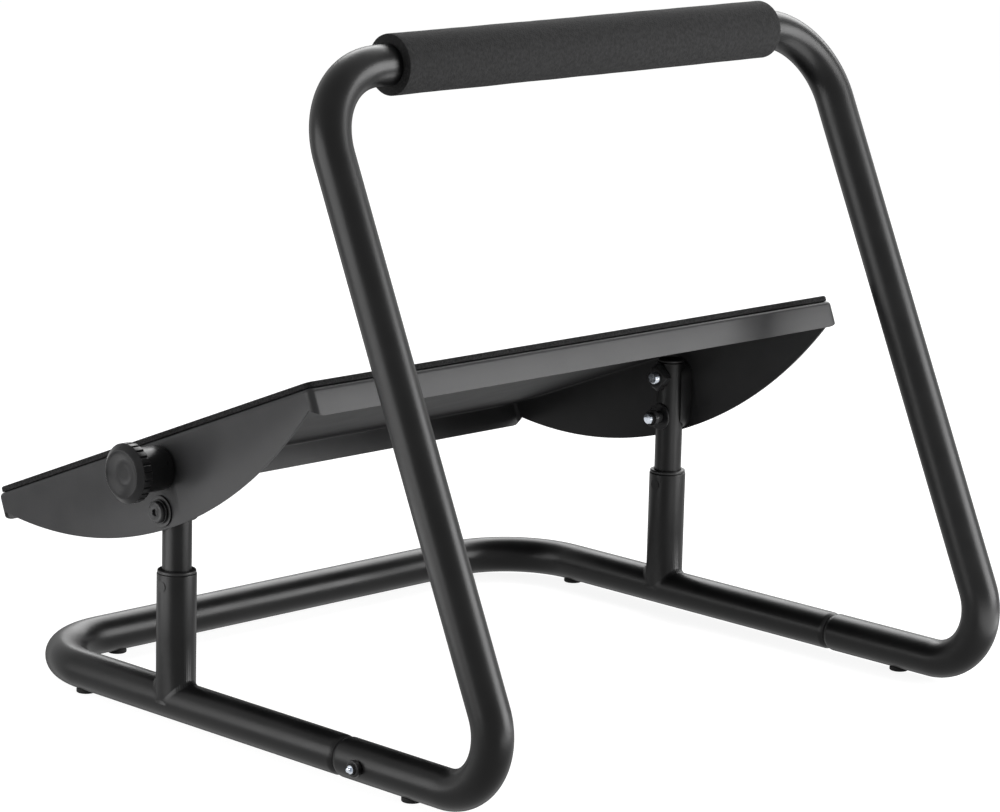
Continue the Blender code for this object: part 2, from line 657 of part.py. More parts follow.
def make_inner_post(side, sign, lift, steel, plastic):
    """The sliding tube, cross-drilled for the pivot bolt and the clamp, and its top plug."""
    bottom = RAIL_Z + TUBE_RADIUS + LIFT_DOWN + LIFT_END_GAP - PIVOT_Z
    bore = INNER_POST_BORE
    edge = POST_EDGE
    profile = [
        (bore, bottom), (INNER_POST_RADIUS - edge, bottom), (INNER_POST_RADIUS, bottom + edge),
        (INNER_POST_RADIUS, INNER_POST_TOP - edge), (INNER_POST_RADIUS - edge, INNER_POST_TOP),
        (bore, INNER_POST_TOP),
    ]
    name = "inner_post_" + side
    x = sign * SIDE_X
    post = place(name, turned(name, profile, ROUND_SIDES, closed=True), steel, lift,
                 location=(x, 0, 0))
    for kind, height in (("pivot", 0.0), ("clamp", SLOT_RADIUS)):
        drill(post, kind + "_way_" + side, BOLT_HOLE, (x - 2 * INNER_POST_RADIUS, 0, height),
              (x + 2 * INNER_POST_RADIUS, 0, height), lift)
    stem = bore - SEAT_GAP
    head = INNER_POST_RADIUS - edge
    depth = INNER_POST_TOP - SLOT_RADIUS - BOLT_HOLE - SEAT_GAP
    plug = [
        (0.0, -depth), (stem - PLUG_LEAD, -depth), (stem, PLUG_LEAD - depth), (stem, 0.0),
        (head, 0.0), (head, PLUG_HEAD - PLUG_EDGE), (head - PLUG_EDGE, PLUG_HEAD), (0.0, PLUG_HEAD),
    ]
    name = "post_plug_" + side
    place(name, turned(name, plug), plastic, lift, location=(x, 0, INNER_POST_TOP + SEAT_GAP))


def make_saddle(side, sign, lift, plastic):
    """A spacer with a cradle for the round post and a flat face for the tray's flange."""
    half = SADDLE_HALF_WIDTH
    outline = arc((0, 0), half, math.pi / 2, 3 * math.pi / 2, SADDLE_STEPS)
    outline += arc((SLOT_RADIUS, 0), half, -math.pi / 2, math.pi / 2, SADDLE_STEPS)
    thickness = FLANGE_INNER_X - SEAT_GAP - SIDE_X - SADDLE_JAW_SETBACK
    name = "saddle_" + side
    mesh = prism(name, outline, 0.0, thickness)
    turn = Matrix(((0, 0, sign), (0, 1, 0), (1, 0, 0))).to_4x4()
    mesh.transform(turn)
    if turn.determinant() < 0:
        mesh.flip_normals()
    x = sign * (SIDE_X + SADDLE_JAW_SETBACK)
    saddle = place(name, mesh, plastic, lift, location=(x, 0, 0))
    cradle = prism(name, polygon(2 * (INNER_POST_RADIUS + SEAT_GAP), ROUND_SIDES),
                   -2 * half, SLOT_RADIUS + 2 * half)
    cut(saddle, cutter(name + "_cradle", cradle, lift, location=(sign * SIDE_X, 0, 0)))
    for kind, height in (("pivot", 0.0), ("clamp", SLOT_RADIUS)):
        drill(saddle, "saddle_" + kind + "_hole_" + side, BOLT_HOLE,
              (sign * SIDE_X, 0, height), (sign * FLANGE_OUTER_X, 0, height), lift)


def bolt_profile(head_profile, end):
    """Points of a bolt lying under a head whose seat is at height 0, down to -end."""
    tip = BOLT_END_CHAMFER
    shank = [(0.0, -end), (BOLT_RADIUS - tip, -end), (BOLT_RADIUS, tip - end), (BOLT_RADIUS, 0.0)]
    return shank + head_profile


def button_head():
    """Outline of a domed socket head, from under its rim to its top."""
    rim, crown = BOLT_HEAD_RIM, BOLT_HEAD_CROWN
    dome = [(crown + (BOLT_HEAD_RADIUS - crown) * math.cos(a),
             rim + (BOLT_HEAD_HEIGHT - rim) * math.sin(a)) for a in quarter_turn(DOME_STEPS)]
    return [(BOLT_HEAD_RADIUS, 0.0)] + dome + [(0.0, BOLT_HEAD_HEIGHT)]


def carriage_head():
    """Outline of a low round head, from its rim to its crown."""
    rise = CARRIAGE_HEAD_HEIGHT - CARRIAGE_HEAD_RIM
    dome = [(CARRIAGE_HEAD_RADIUS * math.cos(a), CARRIAGE_HEAD_RIM + rise * math.sin(a))
            for a in quarter_turn(DOME_STEPS)[:-1]]
    return [(CARRIAGE_HEAD_RADIUS, 0.0)] + dome + [(0.0, CARRIAGE_HEAD_HEIGHT)]


def washer(name, inner, outer, height, finish, location, rotation, parent=None):
    """A flat ring drawn up from its seat."""
    profile = [(inner, 0.0), (outer, 0.0), (outer, height - WASHER_EDGE),
               (outer - WASHER_EDGE, height), (inner, height)]
    return place(name, turned(name, profile, closed=True), finish, parent, location, rotation)


def make_pivot(side, sign, lift, tray, steel, plastic):
    """Bolt, bush, washers and lock nut on which one end of the tray turns."""
    flange = FLANGE_OUTER_X + SEAT_GAP
    washer_seat = flange + BUSH_FLANGE_HEIGHT + SEAT_GAP
    head_seat = washer_seat + WASHER_HEIGHT + SEAT_GAP
    nut_seat = POST_INNER_X - WASHER_HEIGHT - SEAT_GAP
    nut_top = nut_seat - LOCK_NUT_HEIGHT - LOCK_NUT_COLLAR
    bush_outer = BOLT_HOLE + BUSH_WALL
    bush_depth = SHEET + SEAT_GAP
    bush = [
        (BOLT_HOLE, -bush_depth), (bush_outer, -bush_depth), (bush_outer, 0.0),
        (BUSH_FLANGE_RADIUS, 0.0), (BUSH_FLANGE_RADIUS, BUSH_FLANGE_HEIGHT),
        (BOLT_HOLE, BUSH_FLANGE_HEIGHT),
    ]
    name = "pivot_bush_" + side
    place(name, turned(name, bush, closed=True), plastic, tray, (sign * flange, 0, 0),
          along_x(sign))
    washer("pivot_washer_outer_" + side, BOLT_HOLE, OUTER_WASHER_RADIUS, WASHER_HEIGHT, steel,
           (sign * washer_seat, 0, 0), along_x(sign), lift)
    washer("pivot_washer_inner_" + side, BOLT_HOLE, INNER_WASHER_RADIUS, WASHER_HEIGHT, steel,
           (sign * POST_INNER_X, 0, 0), along_x(-sign), lift)
    name = "pivot_bolt_" + side
    end = head_seat - nut_top + BOLT_PROUD
    bolt = place(name, turned(name, bolt_profile(button_head(), end)), steel, lift,
                 (sign * head_seat, 0, 0), along_x(sign))
    socket = prism(name, polygon(BOLT_SOCKET, 6), BOLT_HEAD_HEIGHT - BOLT_SOCKET_DEPTH,
                   BOLT_HEAD_HEIGHT + BOLT_SOCKET_DEPTH)
    cut(bolt, cutter("pivot_socket_" + side, socket, lift, (sign * head_seat, 0, 0),
                     along_x(sign)))
    name = "pivot_nut_" + side
    spot, facing = (sign * nut_seat, 0, 0), along_x(-sign)
    nut = make_nut(name, 6, LOCK_NUT_WIDTH, LOCK_NUT_HEIGHT, steel, spot, facing, lift)
    neck, edge = LOCK_NUT_COLLAR_RADIUS, LOCK_NUT_COLLAR / 3
    top = LOCK_NUT_HEIGHT + LOCK_NUT_COLLAR
    collar = [(0.0, edge), (neck, edge), (neck, top - edge), (neck - edge, top), (0.0, top)]
    cut(nut, cutter(name + "_collar", turned(name, collar), lift, spot, facing), "UNION")
    drill(nut, name + "_bore", BOLT_RADIUS + SEAT_GAP, (sign * SIDE_X, 0, 0), (0, 0, 0), lift)


def make_clamp_nut(side, sign, lift, steel):
    """The square nut inside the post that the knob's stud or the guide bolt screws into."""
    name = "clamp_nut_" + side
    spot = (sign * POST_INNER_X, 0, SLOT_RADIUS)
    nut = make_nut(name, 4, SQUARE_NUT_WIDTH, SQUARE_NUT_HEIGHT, steel, spot, along_x(-sign), lift,
                   SQUARE_NUT_TURN)
    drill(nut, name + "_bore", BOLT_RADIUS + SEAT_GAP, (sign * SIDE_X, 0, SLOT_RADIUS),
          (0, 0, SLOT_RADIUS), lift)


def make_guide_bolt(side, sign, lift, steel, bright):
    """The bolt that follows the slot on the side without a knob."""
    washer_seat = FLANGE_OUTER_X + SEAT_GAP
    head_seat = washer_seat + WASHER_HEIGHT + SEAT_GAP
    washer("guide_washer_" + side, BOLT_HOLE, KNOB_WASHER_RADIUS, WASHER_HEIGHT, steel,
           (sign * washer_seat, 0, SLOT_RADIUS), along_x(sign), lift)
    name = "guide_bolt_" + side
    profile = bolt_profile(carriage_head(), head_seat - CLAMP_END_X)
    place(name, turned(name, profile), bright, lift, (sign * head_seat, 0, SLOT_RADIUS),
          along_x(sign))


def ribbed(radius, height, depth=KNOB_RIB_DEPTH):
    """One ring of the knob's grip, with a flat land and a groove for each rib."""
    points = []
    for rib in range(KNOB_RIBS):
        for share, drop in ((-KNOB_LAND, 0.0), (KNOB_LAND, 0.0), (KNOB_GROOVE, depth),
                            (1 - KNOB_GROOVE, depth)):
            a = math.tau * (rib + share) / KNOB_RIBS
            r = radius - drop
            points.append((r * math.cos(a), r * math.sin(a), height))
    return points


def make_knob(sign, knob, plastic, steel, bright):
    """The hand knob, its moulded-in stud and the washer under its hub."""
    washer_seat = FLANGE_OUTER_X + SEAT_GAP
    hub_seat = washer_seat + WASHER_HEIGHT + SEAT_GAP
    washer("knob_washer", BOLT_HOLE, KNOB_WASHER_RADIUS, WASHER_HEIGHT, steel,
           (sign * washer_seat - knob.location.x, 0, 0), along_x(sign), knob)
    spot = (sign * hub_seat - knob.location.x, 0, 0)
    back = KNOB_HUB_LENGTH
    front = back + KNOB_GRIP_LENGTH
    bore = BOLT_RADIUS + SEAT_GAP
    edge = KNOB_CHAMFER / 2
    rim = front - edge / 2
    floor = front - KNOB_DISH_DEPTH
    core = [
        (0.0, KNOB_STUD_DEPTH + SEAT_GAP), (bore, KNOB_STUD_DEPTH + SEAT_GAP), (bore, 0.0),
        (KNOB_HUB_RADIUS - edge, 0.0), (KNOB_HUB_RADIUS, edge), (KNOB_HUB_RADIUS, back + edge),
        (KNOB_FACE_RADIUS, back + KNOB_CHAMFER), (KNOB_FACE_RADIUS, rim),
        (KNOB_FACE_RADIUS - edge / 2, front), (KNOB_FACE_RADIUS - edge, front),
        (KNOB_FACE_RADIUS - KNOB_CHAMFER, floor), (KNOB_BOSS_RADIUS + edge, floor),
        (KNOB_BOSS_RADIUS, floor + KNOB_BOSS_RISE), (0.0, floor + KNOB_BOSS_RISE),
    ]
    grip = [
        ribbed(KNOB_GRIP_RADIUS - edge, back),
        ribbed(KNOB_GRIP_RADIUS, back + edge),
        ribbed(KNOB_GRIP_RADIUS, front - KNOB_CHAMFER),
        ribbed(KNOB_FACE_RADIUS + KNOB_RIB_DEPTH, rim),
        ribbed(KNOB_FACE_RADIUS - edge / 2, rim, 0.0),
        ribbed(KNOB_HUB_RADIUS - edge, back, 0.0),
    ]
    body = place("clamp_knob", turned("clamp_knob", core, KNOB_RIBS), plastic, knob, spot,
                 along_x(sign))
    ring = cutter("knob_grip", loft("knob_grip", grip, close_rings=True), knob, spot, along_x(sign))
    cut(body, ring, "UNION")
    tip = BOLT_END_CHAMFER
    stud_length = hub_seat - CLAMP_END_X + KNOB_STUD_DEPTH
    stud = [(0.0, 0.0), (BOLT_RADIUS - tip, 0.0), (BOLT_RADIUS, tip),
            (BOLT_RADIUS, stud_length - tip), (BOLT_RADIUS - tip, stud_length),
            (0.0, stud_length)]
    place("knob_stud", turned("knob_stud", stud), bright, knob,
          (sign * CLAMP_END_X - knob.location.x, 0, 0), along_x(sign))


def flange_edge():
    """Lower edge of a side flange as (s, depth) points, an arc from its front end to its rear end."""
    rise = FLANGE_MID_DEPTH - CORNER_DEPTH
    radius = (FLANGE_END_S ** 2 + rise ** 2) / (2 * rise)
    half_angle = math.asin(FLANGE_END_S / radius)
    return arc((0, FLANGE_MID_DEPTH - radius), radius, math.pi / 2 + half_angle,
               math.pi / 2 - half_angle, FLANGE_STEPS)


def lip_edge():
    """Lower edge of a lip as (x, depth) points, from the sitter's right to the left."""
    corner = LIP_DEPTH - CORNER_DEPTH
    right = arc((LIP_END_X - corner, CORNER_DEPTH), corner, 0.0, math.pi / 2, CORNER_STEPS)
    return right + [(-x, depth) for x, depth in reversed(right)]


def pan_rim():
    """Each point where the plate's bend begins, with its outward direction and the wall's depth."""
    inner = PAN_CORNER - SHEET_BEND
    turn = [math.pi / 2 * i / CORNER_STEPS for i in range(1, CORNER_STEPS)]
    half = [(FLANGE_OUTER_X - SHEET_BEND, s, 0.0, depth) for s, depth in flange_edge()]
    half += [(LIP_END_X + inner * math.cos(a), FLANGE_END_S + inner * math.sin(a), a, CORNER_DEPTH)
             for a in turn]
    half += [(x, TRAY_LENGTH / 2 - SHEET_BEND, math.pi / 2, depth) for x, depth in lip_edge()]
    half += [(-LIP_END_X - inner * math.sin(a), FLANGE_END_S + inner * math.cos(a), a + math.pi / 2,
              CORNER_DEPTH) for a in turn]
    return [(Vector((sign * x, sign * s, SHEET_TOP)),
             Vector((sign * math.cos(a), sign * math.sin(a), 0.0)), depth)
            for sign in (1, -1) for x, s, a, depth in half]


def pan_skin():
    """The outer skin of the pan: a plate inside one wall, round at the corners, arched at the sides."""
    rim = pan_rim()
    shape = bmesh.new()
    rows = []
    for turn in quarter_turn(SHEET_BEND_STEPS):
        out, drop = SHEET_BEND * math.sin(turn), SHEET_BEND * (1 - math.cos(turn))
        rows.append([shape.verts.new(point + outward * out - Vector((0, 0, drop)))
                     for point, outward, _ in rim])
    rows.append([shape.verts.new(point + outward * SHEET_BEND - Vector((0, 0, depth)))
                 for point, outward, depth in rim])
    for upper, lower in zip(rows, rows[1:]):
        for i in range(len(rim)):
            j = (i + 1) % len(rim)
            shape.faces.new((upper[i], lower[i], lower[j], upper[j]))
    shape.faces.new(rows[0])
    return to_mesh("tray_pan", shape)


def make_tray_pan(tray, finish):
    """The pressed sheet, with a hole for the pivot and a slot for the clamp on each side."""
    pan = place("tray_pan", pan_skin(), finish, tray)
    modifier(pan, "SOLIDIFY", thickness=SHEET, offset=-1.0, use_even_offset=True)
    bush_hole = BOLT_HOLE + BUSH_WALL + SEAT_GAP
    reach = FLANGE_OUTER_X + SHEET
    for side, sign in SIDES.items():
        drill(pan, "pivot_hole_" + side, bush_hole, (sign * (FLANGE_INNER_X - SHEET), 0, 0),
              (sign * reach, 0, 0), tray)
        slot = prism("slot", slot_outline(), -2 * SHEET, 2 * SHEET)
        into_flange = Matrix(((0, 0, 1), (1, 0, 0), (0, 1, 0))).to_euler()
        cut(pan, cutter("tilt_slot_" + side, slot, tray, (sign * FLANGE_OUTER_X, 0, 0), into_flange))


def slot_outline():
    """The arc that the clamp runs in as (s, h) points, long enough for the whole range of tilt."""
    half = BOLT_HOLE
    low = math.pi / 2 - TILT_HIGH - SLOT_END_PLAY
    high = math.pi / 2 - TILT_LOW + SLOT_END_PLAY

    def end(angle, start, stop):
        middle = (SLOT_RADIUS * math.cos(angle), SLOT_RADIUS * math.sin(angle))
        return arc(middle, half, start, stop, SLOT_STEPS)

    outer = arc((0, 0), SLOT_RADIUS + half, low, high, SLOT_STEPS)
    inner = arc((0, 0), SLOT_RADIUS - half, high, low, SLOT_STEPS)
    far, near = end(high, high, high + math.pi), end(low, low + math.pi, low + math.tau)
    return outer[:-1] + far + inner[1:-1] + near[:-1]


def make_mat(tray, finish):
    """The rubber mat on the plate, with round corners and softened edges."""
    half_x = FLANGE_OUTER_X - MAT_INSET
    half_s = TRAY_LENGTH / 2 - MAT_INSET
    corner = MAT_CORNER
    outline = []
    quarter = math.pi / 2
    for i, (sx, ss) in enumerate(((1, 1), (-1, 1), (-1, -1), (1, -1))):
        centre = (sx * (half_x - corner), ss * (half_s - corner))
        outline += arc(centre, corner, i * quarter, (i + 1) * quarter, MAT_CORNER_STEPS)
    mesh = prism("tray_mat", outline, SHEET_TOP + SEAT_GAP, TRAY_RISE)
    round_edges(place("tray_mat", mesh, finish, tray), MAT_EDGE)


def move_origin(x):
    """Puts the origin at that x by moving every piece, cutter and frame that has no parent."""
    for thing in bpy.data.objects:
        if thing.parent is None:
            thing.location.x -= x


def build():
    """Makes every piece."""
    clear_scene()
    powder = material("powder_coat", (0.035, 0.035, 0.037), 0.45)
    sheet = material("powder_coat_sheet", (0.045, 0.045, 0.047), 0.50)
    foam = material("black_foam", (0.020, 0.020, 0.021), 0.90)
    rubber = material("black_rubber", (0.015, 0.015, 0.016), 0.80)
    plastic = material("black_plastic", (0.022, 0.022, 0.023), 0.50)
    oxide = material("black_steel", (0.030, 0.030, 0.032), 0.40, 0.8)
    zinc = material("zinc_steel", (0.620, 0.640, 0.660), 0.25, 1.0)

    lift = empty("lift_frame", (0.0, POST_Y, PIVOT_Z))
    tray = empty("tray_frame", (0.0, 0.0, 0.0), lift, (TILT, 0.0, 0.0))
    knob = empty("knob_frame", (FLANGE_OUTER_X, 0.0, SLOT_RADIUS), lift)

    base_tube = make_base_tube(powder)
    handle_tube = make_handle_tube(powder)
    drill_foot_holes(base_tube, handle_tube)
    make_feet(rubber)
    make_foam(foam)
    for side, sign in SIDES.items():
        make_joint(side, sign, handle_tube, oxide, zinc)
        make_outer_post(side, sign, powder)
        make_bushing(side, sign, plastic, oxide)
        make_inner_post(side, sign, lift, powder, plastic)
        make_saddle(side, sign, lift, plastic)
        make_pivot(side, sign, lift, tray, oxide, plastic)
        make_clamp_nut(side, sign, lift, oxide)
    make_guide_bolt("left", SIDES["left"], lift, oxide, zinc)
    make_tray_pan(tray, sheet)
    make_mat(tray, rubber)
    make_knob(SIDES["right"], knob, plastic, oxide, zinc)
    move_origin(WIDTH_MIDDLE_X)


build()
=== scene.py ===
# %% [markdown]
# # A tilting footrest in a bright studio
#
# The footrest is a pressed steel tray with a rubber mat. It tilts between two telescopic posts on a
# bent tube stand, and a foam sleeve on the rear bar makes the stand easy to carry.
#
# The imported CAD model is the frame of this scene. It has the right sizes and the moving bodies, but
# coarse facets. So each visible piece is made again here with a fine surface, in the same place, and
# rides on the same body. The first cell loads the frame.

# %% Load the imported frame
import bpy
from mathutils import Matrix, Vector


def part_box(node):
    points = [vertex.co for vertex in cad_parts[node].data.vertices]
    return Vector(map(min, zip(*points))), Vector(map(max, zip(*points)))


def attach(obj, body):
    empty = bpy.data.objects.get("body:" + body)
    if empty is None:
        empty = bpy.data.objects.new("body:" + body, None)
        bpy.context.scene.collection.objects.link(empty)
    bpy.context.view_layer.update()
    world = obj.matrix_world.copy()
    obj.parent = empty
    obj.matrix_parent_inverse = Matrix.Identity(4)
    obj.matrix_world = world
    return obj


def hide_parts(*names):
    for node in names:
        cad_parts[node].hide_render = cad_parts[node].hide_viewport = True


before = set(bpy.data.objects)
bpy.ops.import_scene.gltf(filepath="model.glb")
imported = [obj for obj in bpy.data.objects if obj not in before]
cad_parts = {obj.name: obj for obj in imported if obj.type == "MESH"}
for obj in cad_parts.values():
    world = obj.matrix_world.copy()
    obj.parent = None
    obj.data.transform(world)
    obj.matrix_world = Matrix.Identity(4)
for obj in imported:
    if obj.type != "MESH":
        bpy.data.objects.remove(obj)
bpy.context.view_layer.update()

# %% [markdown]
# ## The tools of the lesson
#
# bpy holds Blender's own data, bmesh builds a mesh point by point, and mathutils moves and turns
# points. Nearly every piece of this footrest is round, so three helpers give the angles right round a
# circle, the angles of a rounded edge, and the point at an angle. Most pieces below are drawn with them.

# %% Import Blender and go round a circle
import math

import bmesh
import bpy
from mathutils import Matrix, Vector, noise


def turns(sides, first=0.0):
    """Equal angles right round a circle."""
    return [first + math.tau * k / sides for k in range(sides)]


def quarter(steps):
    """The angles of a quarter turn, both ends included."""
    return [math.pi / 2 * k / steps for k in range(steps + 1)]


def around(radius, angle, height):
    """The point at that radius and angle about Z, at that height."""
    return Vector((radius * math.cos(angle), radius * math.sin(angle), height))


print("corners of a hexagon, in degrees:", [round(math.degrees(angle)) for angle in turns(6)])

# %% [markdown]
# ## Sizes of the real footrest
#
# All lengths are in metres. The side rails lie at equal distances from a middle plane, which the knob
# pushes a little off the origin, so the middle is read from the base tube's own box. The other sizes
# are those of the CAD, because a fine surface only looks right when it lies exactly on the engineered
# one. The tray is drawn level about its pivot and then tilted, as a sheet metal drawing would be.
# Pieces that seat on each other keep the gap that they have in the CAD, 0.3 mm.

# %% Read the guide places from the frame
rail_low, rail_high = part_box("base_tube")
MIDDLE_X = (rail_low.x + rail_high.x) / 2
TUBE_RADIUS = (rail_high.z - rail_low.z) / 2
RAIL_Z = (rail_high.z + rail_low.z) / 2
SIDE = (rail_high.x - rail_low.x) / 2 - TUBE_RADIUS
FRONT_Y = rail_low.y + TUBE_RADIUS
SEAM_Y = rail_high.y
POST_SETBACK, PIVOT_RISE, CLAMP_RISE = 0.149, 0.1224, 0.0279
POST_Y = FRONT_Y + POST_SETBACK
PIVOT_Z = RAIL_Z + PIVOT_RISE
CLAMP_Z = PIVOT_Z + CLAMP_RISE
TILT = math.radians(21.8)
GAP = 0.0003
BOLT_RADIUS, BOLT_HOLE = 0.0040, 0.0043
SIDES = {"right": 1, "left": -1}


def on_side(sign, reach, z, y=POST_Y):
    """A place that far from the middle plane, to the right for 1 and to the left for -1."""
    return MIDDLE_X + sign * reach, y, z


print("middle plane at x = %.4f, side rails %.4f from it" % (MIDDLE_X, SIDE))

# %% [markdown]
# ## The camera
#
# The photograph was taken with a long lens from the far side of the stand, slightly above the bar.
# Its place comes from the photograph's own parallel edges, so it is given as a place, a heading, a
# downward pitch and a small roll. A camera looks along its own -Z, so its matrix is built from the
# direction back to the lens, the direction to the right, and the direction up.

# %% Place the camera
def aim(azimuth, elevation, roll=0.0):
    """The turn of a camera that looks along that heading, with 0 along +Y, and down by the elevation."""
    back = Vector((math.sin(azimuth) * math.cos(elevation),
                   -math.cos(azimuth) * math.cos(elevation), math.sin(elevation)))
    right = Vector((math.cos(azimuth), math.sin(azimuth), 0.0))
    up = back.cross(right)
    right_rolled = right * math.cos(roll) + up * math.sin(roll)
    up_rolled = up * math.cos(roll) - right * math.sin(roll)
    return Matrix((right_rolled, up_rolled, back)).transposed().to_4x4()


lens = bpy.data.cameras.new("camera")
lens.sensor_width = 36.0
lens.lens = 145.78
lens.clip_end = 40.0
camera = bpy.data.objects.new("camera", lens)
camera.matrix_world = (Matrix.Translation((MIDDLE_X + 1.8002, 1.7912, 0.7193))
                       @ aim(math.radians(135.0), math.radians(11.929), math.radians(1.441)))
bpy.context.scene.collection.objects.link(camera)
bpy.context.scene.camera = camera
print("camera stands", round((camera.location - Vector((MIDDLE_X, 0, 0.2))).length, 2), "m away")

# %% [markdown]
# ## A small kit for shader trees
#
# Every finish below is a tree of nodes. Writing each node as one call with its values beside it keeps
# the trees short enough to read: a socket given as a value is linked, and a number is set.

# %% Helpers for shader trees
def node(tree, kind, sockets=None, **settings):
    """One node, its settings, and the values or links of its sockets."""
    made = tree.nodes.new(kind)
    for key, value in settings.items():
        setattr(made, key, value)
    for key, value in (sockets or {}).items():
        if isinstance(value, bpy.types.NodeSocket):
            tree.links.new(value, made.inputs[key])
        else:
            made.inputs[key].default_value = value
    return made


def blank_finish(name):
    """A new finish with its tree, its shader and coordinates that stay on the piece."""
    finish = bpy.data.materials.new(name)
    finish.use_nodes = True
    tree = finish.node_tree
    shader = tree.nodes["Principled BSDF"]
    place = node(tree, "ShaderNodeTexCoord").outputs["Object"]
    return finish, tree, shader, place


def two_tones(tree, value, low, high, low_at=0.35, high_at=0.65):
    """Blends two colours where a texture runs from a low value to a high one."""
    ramp = node(tree, "ShaderNodeValToRGB", {"Fac": value})
    first, last = ramp.color_ramp.elements
    first.position, first.color = low_at, (*low, 1.0)
    last.position, last.color = high_at, (*high, 1.0)
    return ramp.outputs["Color"]


def between(tree, value, low, high, low_at=0.3, high_at=0.7):
    """Maps a stretch of a value to a range of numbers, such as the middle of a noise to two roughnesses."""
    mapped = node(tree, "ShaderNodeMapRange", {"Value": value, "From Min": low_at, "From Max": high_at,
                                               "To Min": low, "To Max": high})
    return mapped.outputs["Result"]


def relief(tree, height, depth, strength, under=None):
    """A bump from a texture, on top of another bump if one is given."""
    sockets = {"Height": height, "Distance": depth, "Strength": strength}
    if under is not None:
        sockets["Normal"] = under
    return node(tree, "ShaderNodeBump", sockets).outputs["Normal"]


def speckle(tree, place, per_metre, detail=2.0):
    """A noise with about that many blobs to the metre."""
    made = node(tree, "ShaderNodeTexNoise", {"Vector": place, "Scale": per_metre, "Detail": detail})
    return made.outputs["Fac"]


# %% [markdown]
# ## The studio
#
# The real photograph is a cut-out on white. A pale floor that also glows a little for the camera gives
# that white without pouring more light on the footrest, and it still shows where the feet press on it.
# Mirrored rays see the same white without the lamps on it, so that black paint stays black.

# %% Lay the floor and set the world
def arithmetic(tree, operation, first, second):
    """The result of one sum on sockets or numbers."""
    return node(tree, "ShaderNodeMath", {0: first, 1: second}, operation=operation).outputs[0]


def studio_rays(tree):
    """Two switches: 1 for the camera's own rays, and 1 for the mirrored and transmitted ones."""
    rays = node(tree, "ShaderNodeLightPath").outputs
    mirrored = arithmetic(tree, "MAXIMUM", rays["Is Glossy Ray"], rays["Is Transmission Ray"])
    return rays["Is Camera Ray"], mirrored


FLOOR_GLOW, FLOOR_GREY, FLOOR_RADIUS = 0.87, 0.26, 9.0
ROOM_GLOW = 0.52
disc = bmesh.new()
bmesh.ops.create_circle(disc, cap_ends=True, segments=96, radius=FLOOR_RADIUS)
floor_mesh = bpy.data.meshes.new("floor")
disc.to_mesh(floor_mesh)
disc.free()
floor = bpy.data.objects.new("floor", floor_mesh)
bpy.context.scene.collection.objects.link(floor)

paint = bpy.data.materials.new("studio_floor")
paint.use_nodes = True
tree = paint.node_tree
tree.nodes.remove(tree.nodes["Principled BSDF"])
direct, mirrored = studio_rays(tree)
grey = arithmetic(tree, "MULTIPLY", arithmetic(tree, "SUBTRACT", 1.0, mirrored), FLOOR_GREY)
matt = node(tree, "ShaderNodeBsdfDiffuse", {"Color": grey}).outputs[0]
glow = arithmetic(tree, "ADD", arithmetic(tree, "MULTIPLY", direct, FLOOR_GLOW), mirrored)
light = node(tree, "ShaderNodeEmission", {"Color": (1.0, 1.0, 1.0, 1.0), "Strength": glow}).outputs[0]
both = node(tree, "ShaderNodeAddShader", {0: matt, 1: light}).outputs[0]
tree.links.new(both, tree.nodes["Material Output"].inputs["Surface"])
floor_mesh.materials.append(paint)

world = bpy.data.worlds.new("studio")
world.use_nodes = True
bpy.context.scene.world = world
tree = world.node_tree
white = arithmetic(tree, "MAXIMUM", *studio_rays(tree))
tree.links.new(between(tree, white, ROOM_GLOW, 1.0, 0.0, 1.0), tree.nodes["Background"].inputs["Strength"])
tree.nodes["Background"].inputs["Color"].default_value = (1.0, 1.0, 1.0, 1.0)
bpy.context.scene.view_settings.view_transform = "Standard"
print("the room lights the footrest at", ROOM_GLOW, "of the white that the camera sees")

# %% [markdown]
# ## The lamps
#
# Black paint hardly shows its colour: what the eye reads is the reflection of the lamps. The real
# picture has a soft band down each side of every tube, so two large soft boxes stand low on either side
# of the camera's view. The upright posts mirror the floor in front of them, so a card lies there on
# each side. A third box hangs behind the footrest and draws the bright streak on the upper bends. Each
# is given the brightness of its surface, and its power follows from its area.

# %% Hang the soft boxes
def hang(name, width, height, brightness):
    """A rectangular lamp that the camera doesn't see, with that brightness of its surface."""
    lamp = bpy.data.lights.new(name, "AREA")
    lamp.shape = "RECTANGLE"
    lamp.size, lamp.size_y = width, height
    lamp.energy = brightness * math.pi * lamp.size * lamp.size_y
    holder = bpy.data.objects.new(name, lamp)
    holder.visible_camera = False
    bpy.context.scene.collection.objects.link(holder)
    print("%s: %.2f m2, %.1f W" % (name, lamp.size * lamp.size_y, lamp.energy))
    return holder


def softbox(name, azimuth, distance, low, high, width, brightness):
    """A lamp at that azimuth, upright between two heights, that faces the middle of the room."""
    holder = hang(name, width, high - low, brightness)
    holder.location = around(distance, math.radians(azimuth), (low + high) / 2)
    facing = Vector((-holder.location.x, -holder.location.y, 0.0))
    holder.rotation_euler = facing.to_track_quat("-Z", "Y").to_euler()


def floor_card(name, azimuth, near, far, width, brightness):
    """A lamp that lies on the floor and faces up, like a white card in the light of a soft box."""
    holder = hang(name, far - near, width, brightness)
    holder.location = around((near + far) / 2, math.radians(azimuth), 0.003)
    holder.rotation_euler = (math.pi, 0.0, math.radians(azimuth))


softbox("box_left", -19.0, 2.0, 0.01, 1.20, 1.75, 6.5)
softbox("box_right", 128.0, 2.0, 0.01, 1.28, 1.24, 15.0)
softbox("box_behind", 210.0, 2.4, 1.00, 3.10, 3.20, 6.5)
floor_card("card_left", -19.0, 0.45, 1.20, 0.40, 6.0)
floor_card("card_right", 105.0, 0.33, 1.10, 0.66, 6.0)

